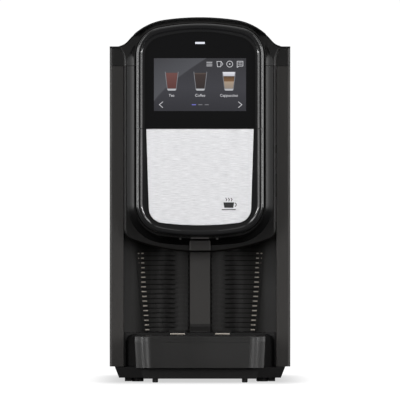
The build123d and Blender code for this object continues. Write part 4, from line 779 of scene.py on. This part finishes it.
drink = {"bottomMm": -6.6, "topMm": 15.6, "topHalfMm": 8.2, "bottomHalfMm": 5.6, "spacingMm": 34.8, "wallMm": 0.8,
         "baseMm": 1.9, "shiftMm": 0.4, "footShare": 0.04, "footInMm": 1.2, "footDropMm": 0.5, "thinning": 0.7,
         "glass": ("#6f7074", "#8a8b90"), "base": ("#c6c8cc", "#85868a")}
# each drink's layers: colour at the bottom and the top, and the shares of the glass where it starts and ends
drinks = {
    "tea": [("#58302c", "#6a4440", 0.0, 0.94)],
    "black_coffee": [("#2a2120", "#382c29", 0.0, 0.86), ("#4f433d", "#4f433d", 0.86, 0.93)],
    "milky_coffee": [("#8d8176", "#a4917d", 0.0, 0.42), ("#7a5a3c", "#4d3722", 0.42, 0.74),
                     ("#b9bac2", "#e0e1e8", 0.74, 0.99)],
}


def drinkPictures():
    low, top, wall = drink["bottomMm"], drink["topMm"], drink["wallMm"]
    liquidLow, high = low + drink["baseMm"], top - low
    wallInk = pictureInk("glass_outline_ink", *drink["glass"], low, top)
    baseInk = pictureInk("glass_base_ink", *drink["base"], low, liquidLow)

    def halfAt(share):
        return drink["bottomHalfMm"] + (drink["topHalfMm"] - drink["bottomHalfMm"]) * share

    for number, (name, bands) in enumerate(drinks.items()):
        x = (number - 1) * drink["spacingMm"] + drink["shiftMm"]
        outer = []
        for side in (-1, 1):
            foot, rim = x + side * halfAt(0), x + side * halfAt(1)
            outer.append([(foot, low), (foot - side * wall, low), (rim - side * wall * drink["thinning"], top),
                          (rim, top)])
        flatPiece(f"picture_{name}_glass", outer, 3, wallInk)
        foot = halfAt(drink["footShare"])
        toe, sole = foot - drink["footInMm"], low - drink["footDropMm"]
        base = [(x - toe, sole), (x + toe, sole), (x + foot, liquidLow), (x - foot, liquidLow)]
        flatPiece(f"picture_{name}_base", [base], 4, baseInk)
        for band, (dark, light, start, end) in enumerate(bands):
            z0, z1 = [liquidLow + (high - drink["baseMm"]) * share for share in (start, end)]
            w0, w1 = [halfAt((z - low) / high) - wall for z in (z0, z1)]
            inkName = f"{name}_{band}_ink"
            ink = evenInk(inkName, dark) if dark == light else pictureInk(inkName, dark, light, z0, z1)
            layer = [(x - w0, z0), (x + w0, z0), (x + w1, z1), (x - w1, z1)]
            flatPiece(f"picture_{name}_{band}", [layer], 2, ink)


def screenText(words, x, z, sizeMm, material):
    curve = bpy.data.curves.new(f"caption_{words.lower()}", "FONT")
    curve.body = words
    curve.size = sizeMm * mm
    curve.align_x = "CENTER"
    maker = bpy.data.objects.new("maker", curve)
    bpy.context.scene.collection.objects.link(maker)
    mesh = bpy.data.meshes.new_from_object(maker.evaluated_get(bpy.context.evaluated_depsgraph_get()))
    bpy.data.objects.remove(maker)
    mesh.name = f"caption_{words.lower()}"
    mesh.transform(Matrix.Translation(onScreen(x, z, 3)) @ Matrix.Rotation(math.pi / 2, 4, "X"))
    mesh.materials.clear()
    mesh.materials.append(material)
    placePiece(mesh, "housing")


# places and sizes on the screen, in millimetres from its centre; a pair is across and up, or wide and high
signs = {
    "inks": {"sign": "#c9c9cd", "caption": "#d2d2d6", "page_mark": "#77777c", "page_mark_on": "#6f70c4"},
    "captions": {"Tea": -34.6, "Coffee": 0.2, "Cappuccino": 35.2}, "captionMm": (-14.6, 4.6),
    "lowRowMm": -24.4, "highRowMm": 25.0, "lineMm": 0.7,
    "arrowsMm": {"sign_back": (-45.4, -4.0), "sign_next": (46.9, 4.0)}, "arrowRiseMm": 3.4, "arrowLineMm": 0.75,
    "pageOnMm": (-7.4, (5.2, 1.1)), "pageRestMm": ((0.4, 8.2), (5.0, 0.9)),
    "menuMm": (11.4, 2.2, (7.0, 0.75)),
    "cupMm": ((20.6, 3.2), (21.2, -3.2), (25.2, -3.2), (25.8, 3.2), (20.6, 3.2)), "handleMm": (25.9, 0.2, 2.0, 0.6),
    "dialMm": (36.1, 4.0, 0.9),
    "bubbleMm": ((45.2, 3.4), (52.2, 3.4), (52.2, -2.4), (47.6, -2.4), (45.2, -4.0), (45.2, 3.4)),
    "linesMm": (48.7, (1.6, -0.2), (4.2, 0.6)),
}


def screenSigns():
    inks = {name: evenInk(f"{name}_ink", colour) for name, colour in signs["inks"].items()}
    for words, x in signs["captions"].items():
        screenText(words, x, *signs["captionMm"], inks["caption"])
    z, rise = signs["lowRowMm"], signs["arrowRiseMm"]
    for name, (x, point) in signs["arrowsMm"].items():
        arrow = [(x, z + rise), (x + point, z), (x, z - rise)]
        flatPiece(name, strokeShapes(arrow, signs["arrowLineMm"]), 2, inks["sign"])
    x, size = signs["pageOnMm"]
    flatPiece("page_mark_one", [boxShape(x, z, *size)], 2, inks["page_mark_on"])
    places, size = signs["pageRestMm"]
    flatPiece("page_mark_rest", [boxShape(x, z, *size) for x in places], 2, inks["page_mark"])
    # menu bars, a cup, a round dial and a chat square
    z, line = signs["highRowMm"], signs["lineMm"]
    x, pitch, size = signs["menuMm"]
    menu = [boxShape(x, z + row * pitch, *size) for row in (-1, 0, 1)]
    cup = strokeShapes([(x, z + up) for x, up in signs["cupMm"]], line)
    x, up, radius, thick = signs["handleMm"]
    cup += ringShapes(x, z + up, radius, thick, -90, 180, 10)
    x, radius, dot = signs["dialMm"]
    dial = ringShapes(x, z, radius, line) + [discShape(x, z, dot, 10)]
    chat = strokeShapes([(x, z + up) for x, up in signs["bubbleMm"]], line)
    x, rises, size = signs["linesMm"]
    chat += [boxShape(x, z + up, *size) for up in rises]
    for name, shapes in (("menu", menu), ("cup", cup), ("dial", dial), ("chat", chat)):
        flatPiece(f"sign_{name}", shapes, 2, inks["sign"])


flatPiece("screen_backdrop", [boxShape(0, 0, *screen["sizeMm"])], 0, screenBackdrop())
drinkPictures()
screenSigns()
print("screen picture")


stage = {"floorHex": "#5a5a5b", "floorRadius": 2.6, "floorSides": 48, "floorGlow": 1.0, "shadeLow": 0.6,
         "shadeReach": (0.06, 0.32), "shadeShift": (0.0, 0.05), "shadeInset": (0.02, 0.05)}


def buildStage():
    # a round sheet of paper, wide enough for every side; the white room shows beyond it
    mesh = bpy.data.meshes.new("studio_floor")
    radius, sides = stage["floorRadius"], stage["floorSides"]
    turns = [2 * math.pi * k / sides for k in range(sides)]
    mesh.from_pydata([(radius * math.cos(a), radius * math.sin(a), 0.0) for a in turns], [], [list(range(sides))])
    floor = bpy.data.objects.new("studio_floor", mesh)
    bpy.context.scene.collection.objects.link(floor)
    material, tree, shader, place = newMaterial("studio_paper")
    shader.inputs["Base Color"].default_value = hexColour(stage["floorHex"])
    shader.inputs["Roughness"].default_value = 0.9
    shader.inputs["Specular IOR Level"].default_value = 0.1
    shader.inputs["Emission Color"].default_value = hexColour("#ffffff")
    # the paper is lit white, with a soft patch of shade where the machine stands
    axes = addNode(tree, "ShaderNodeSeparateXYZ", links={"Vector": place})
    low, high = cadBox
    shares = []
    for axis, label in ((0, "X"), (1, "Y")):
        centre = (low[axis] + high[axis]) / 2 + stage["shadeShift"][axis]
        half = (high[axis] - low[axis]) / 2 - stage["shadeInset"][axis]
        share = axes.outputs[label]
        for operation, value in (("SUBTRACT", centre), ("ABSOLUTE", None), ("SUBTRACT", half), ("MAXIMUM", 0.0),
                                 ("DIVIDE", stage["shadeReach"][axis])):
            step = addNode(tree, "ShaderNodeMath", {"operation": operation}, {0: share})
            if value is not None:
                step.inputs[1].default_value = value
            share = step.outputs[0]
        shares.append(share)
    both = addNode(tree, "ShaderNodeCombineXYZ", links={"X": shares[0], "Y": shares[1]})
    away = addNode(tree, "ShaderNodeVectorMath", {"operation": "LENGTH"}, {0: both.outputs[0]})
    shade = addNode(tree, "ShaderNodeMapRange", {"From Min": 0.0, "From Max": 1.0, "To Min": stage["shadeLow"],
                    "To Max": stage["floorGlow"], "interpolation_type": "SMOOTHSTEP"},
                    {"Value": away.outputs["Value"]})
    seen = addNode(tree, "ShaderNodeLightPath")
    glow = addNode(tree, "ShaderNodeMath", {"operation": "MULTIPLY"},
                   {0: seen.outputs["Is Camera Ray"], 1: shade.outputs["Result"]})
    tree.links.new(glow.outputs["Value"], shader.inputs["Emission Strength"])
    mesh.materials.append(material)


def addLight(name, place, target, size, watts):
    light = bpy.data.lights.new(name, "AREA")
    light.shape = "RECTANGLE"
    light.size, light.size_y = size
    light.energy = watts
    obj = bpy.data.objects.new(name, light)
    bpy.context.scene.collection.objects.link(obj)
    obj.location = place
    obj.rotation_euler = (Vector(target) - Vector(place)).to_track_quat("-Z", "Y").to_euler()


room = {"behind": 0.3, "front": 0.16, "seen": 1.03, "turn": (-0.62, -0.2)}
# place, where it points, size and watts; the side lamps stand on the right and are mirrored to the left
sideLamps = {
    "front_box": ((1.45, -2.9, 0.35), (0, 0, 0.25), (0.9, 1.3), 33),
    "wall": ((1.9, 0.6, 0.4), (0, 0.6, 0.4), (3.8, 1.3), 24),
    "strip": ((1.6, -1.0, 0.4), (0, 0, 0.25), (0.16, 1.2), 12),
    "corner": ((1.5, -1.5, 1.5), (0, -0.18, 0.42), (0.7, 0.7), 7),
}
middleLamps = {
    "high_front": ((0, -1.9, 2.1), (0, 0, 0.25), (1.8, 0.8), 4),
    "top_soft": ((0, 0.3, 2.2), (0, 0, 0.25), (1.6, 1.6), 4),
}


def buildLights():
    # the room is white behind and beside the machine and dark in front of it
    world = bpy.data.worlds.new("studio")
    bpy.context.scene.world = world
    world.use_nodes = True
    tree = world.node_tree
    background = tree.nodes["Background"]
    background.inputs["Color"].default_value = hexColour("#ffffff")
    direction = addNode(tree, "ShaderNodeTexCoord")
    axes = addNode(tree, "ShaderNodeSeparateXYZ", links={"Vector": direction.outputs["Generated"]})
    lit = addNode(tree, "ShaderNodeMapRange", {"From Min": room["turn"][0], "From Max": room["turn"][1],
                  "To Min": room["front"], "To Max": room["behind"], "interpolation_type": "SMOOTHSTEP"},
                  {"Value": axes.outputs["Y"]})
    seen = addNode(tree, "ShaderNodeLightPath")
    strength = addNode(tree, "ShaderNodeMix", {"data_type": "FLOAT"},
                       {0: seen.outputs["Is Camera Ray"], 2: lit.outputs["Result"]})
    strength.inputs[3].default_value = room["seen"]
    tree.links.new(strength.outputs[0], background.inputs["Strength"])
    for side, word in ((-1, "left"), (1, "right")):
        for name, ((x, y, z), target, size, watts) in sideLamps.items():
            addLight(f"{word}_{name}", (side * x, y, z), target, size, watts)
    for name, (place, target, size, watts) in middleLamps.items():
        addLight(name, place, target, size, watts)


view = {"distance": 12.0, "height": 0.2221, "fieldWidth": 0.4893, "faceY": -0.112, "sensorMm": 36}


def buildCamera():
    camera = bpy.data.cameras.new("camera")
    obj = bpy.data.objects.new("camera", camera)
    bpy.context.scene.collection.objects.link(obj)
    camera.sensor_width = view["sensorMm"]
    camera.lens = view["sensorMm"] * view["distance"] / view["fieldWidth"]
    camera.clip_end = 50
    obj.location = (0, view["faceY"] - view["distance"], view["height"])
    obj.rotation_euler = (math.pi / 2, 0, 0)
    bpy.context.scene.camera = obj
    bpy.context.scene.view_settings.view_transform = "Standard"


buildStage()
buildLights()
buildCamera()
print("stage, lights and camera")
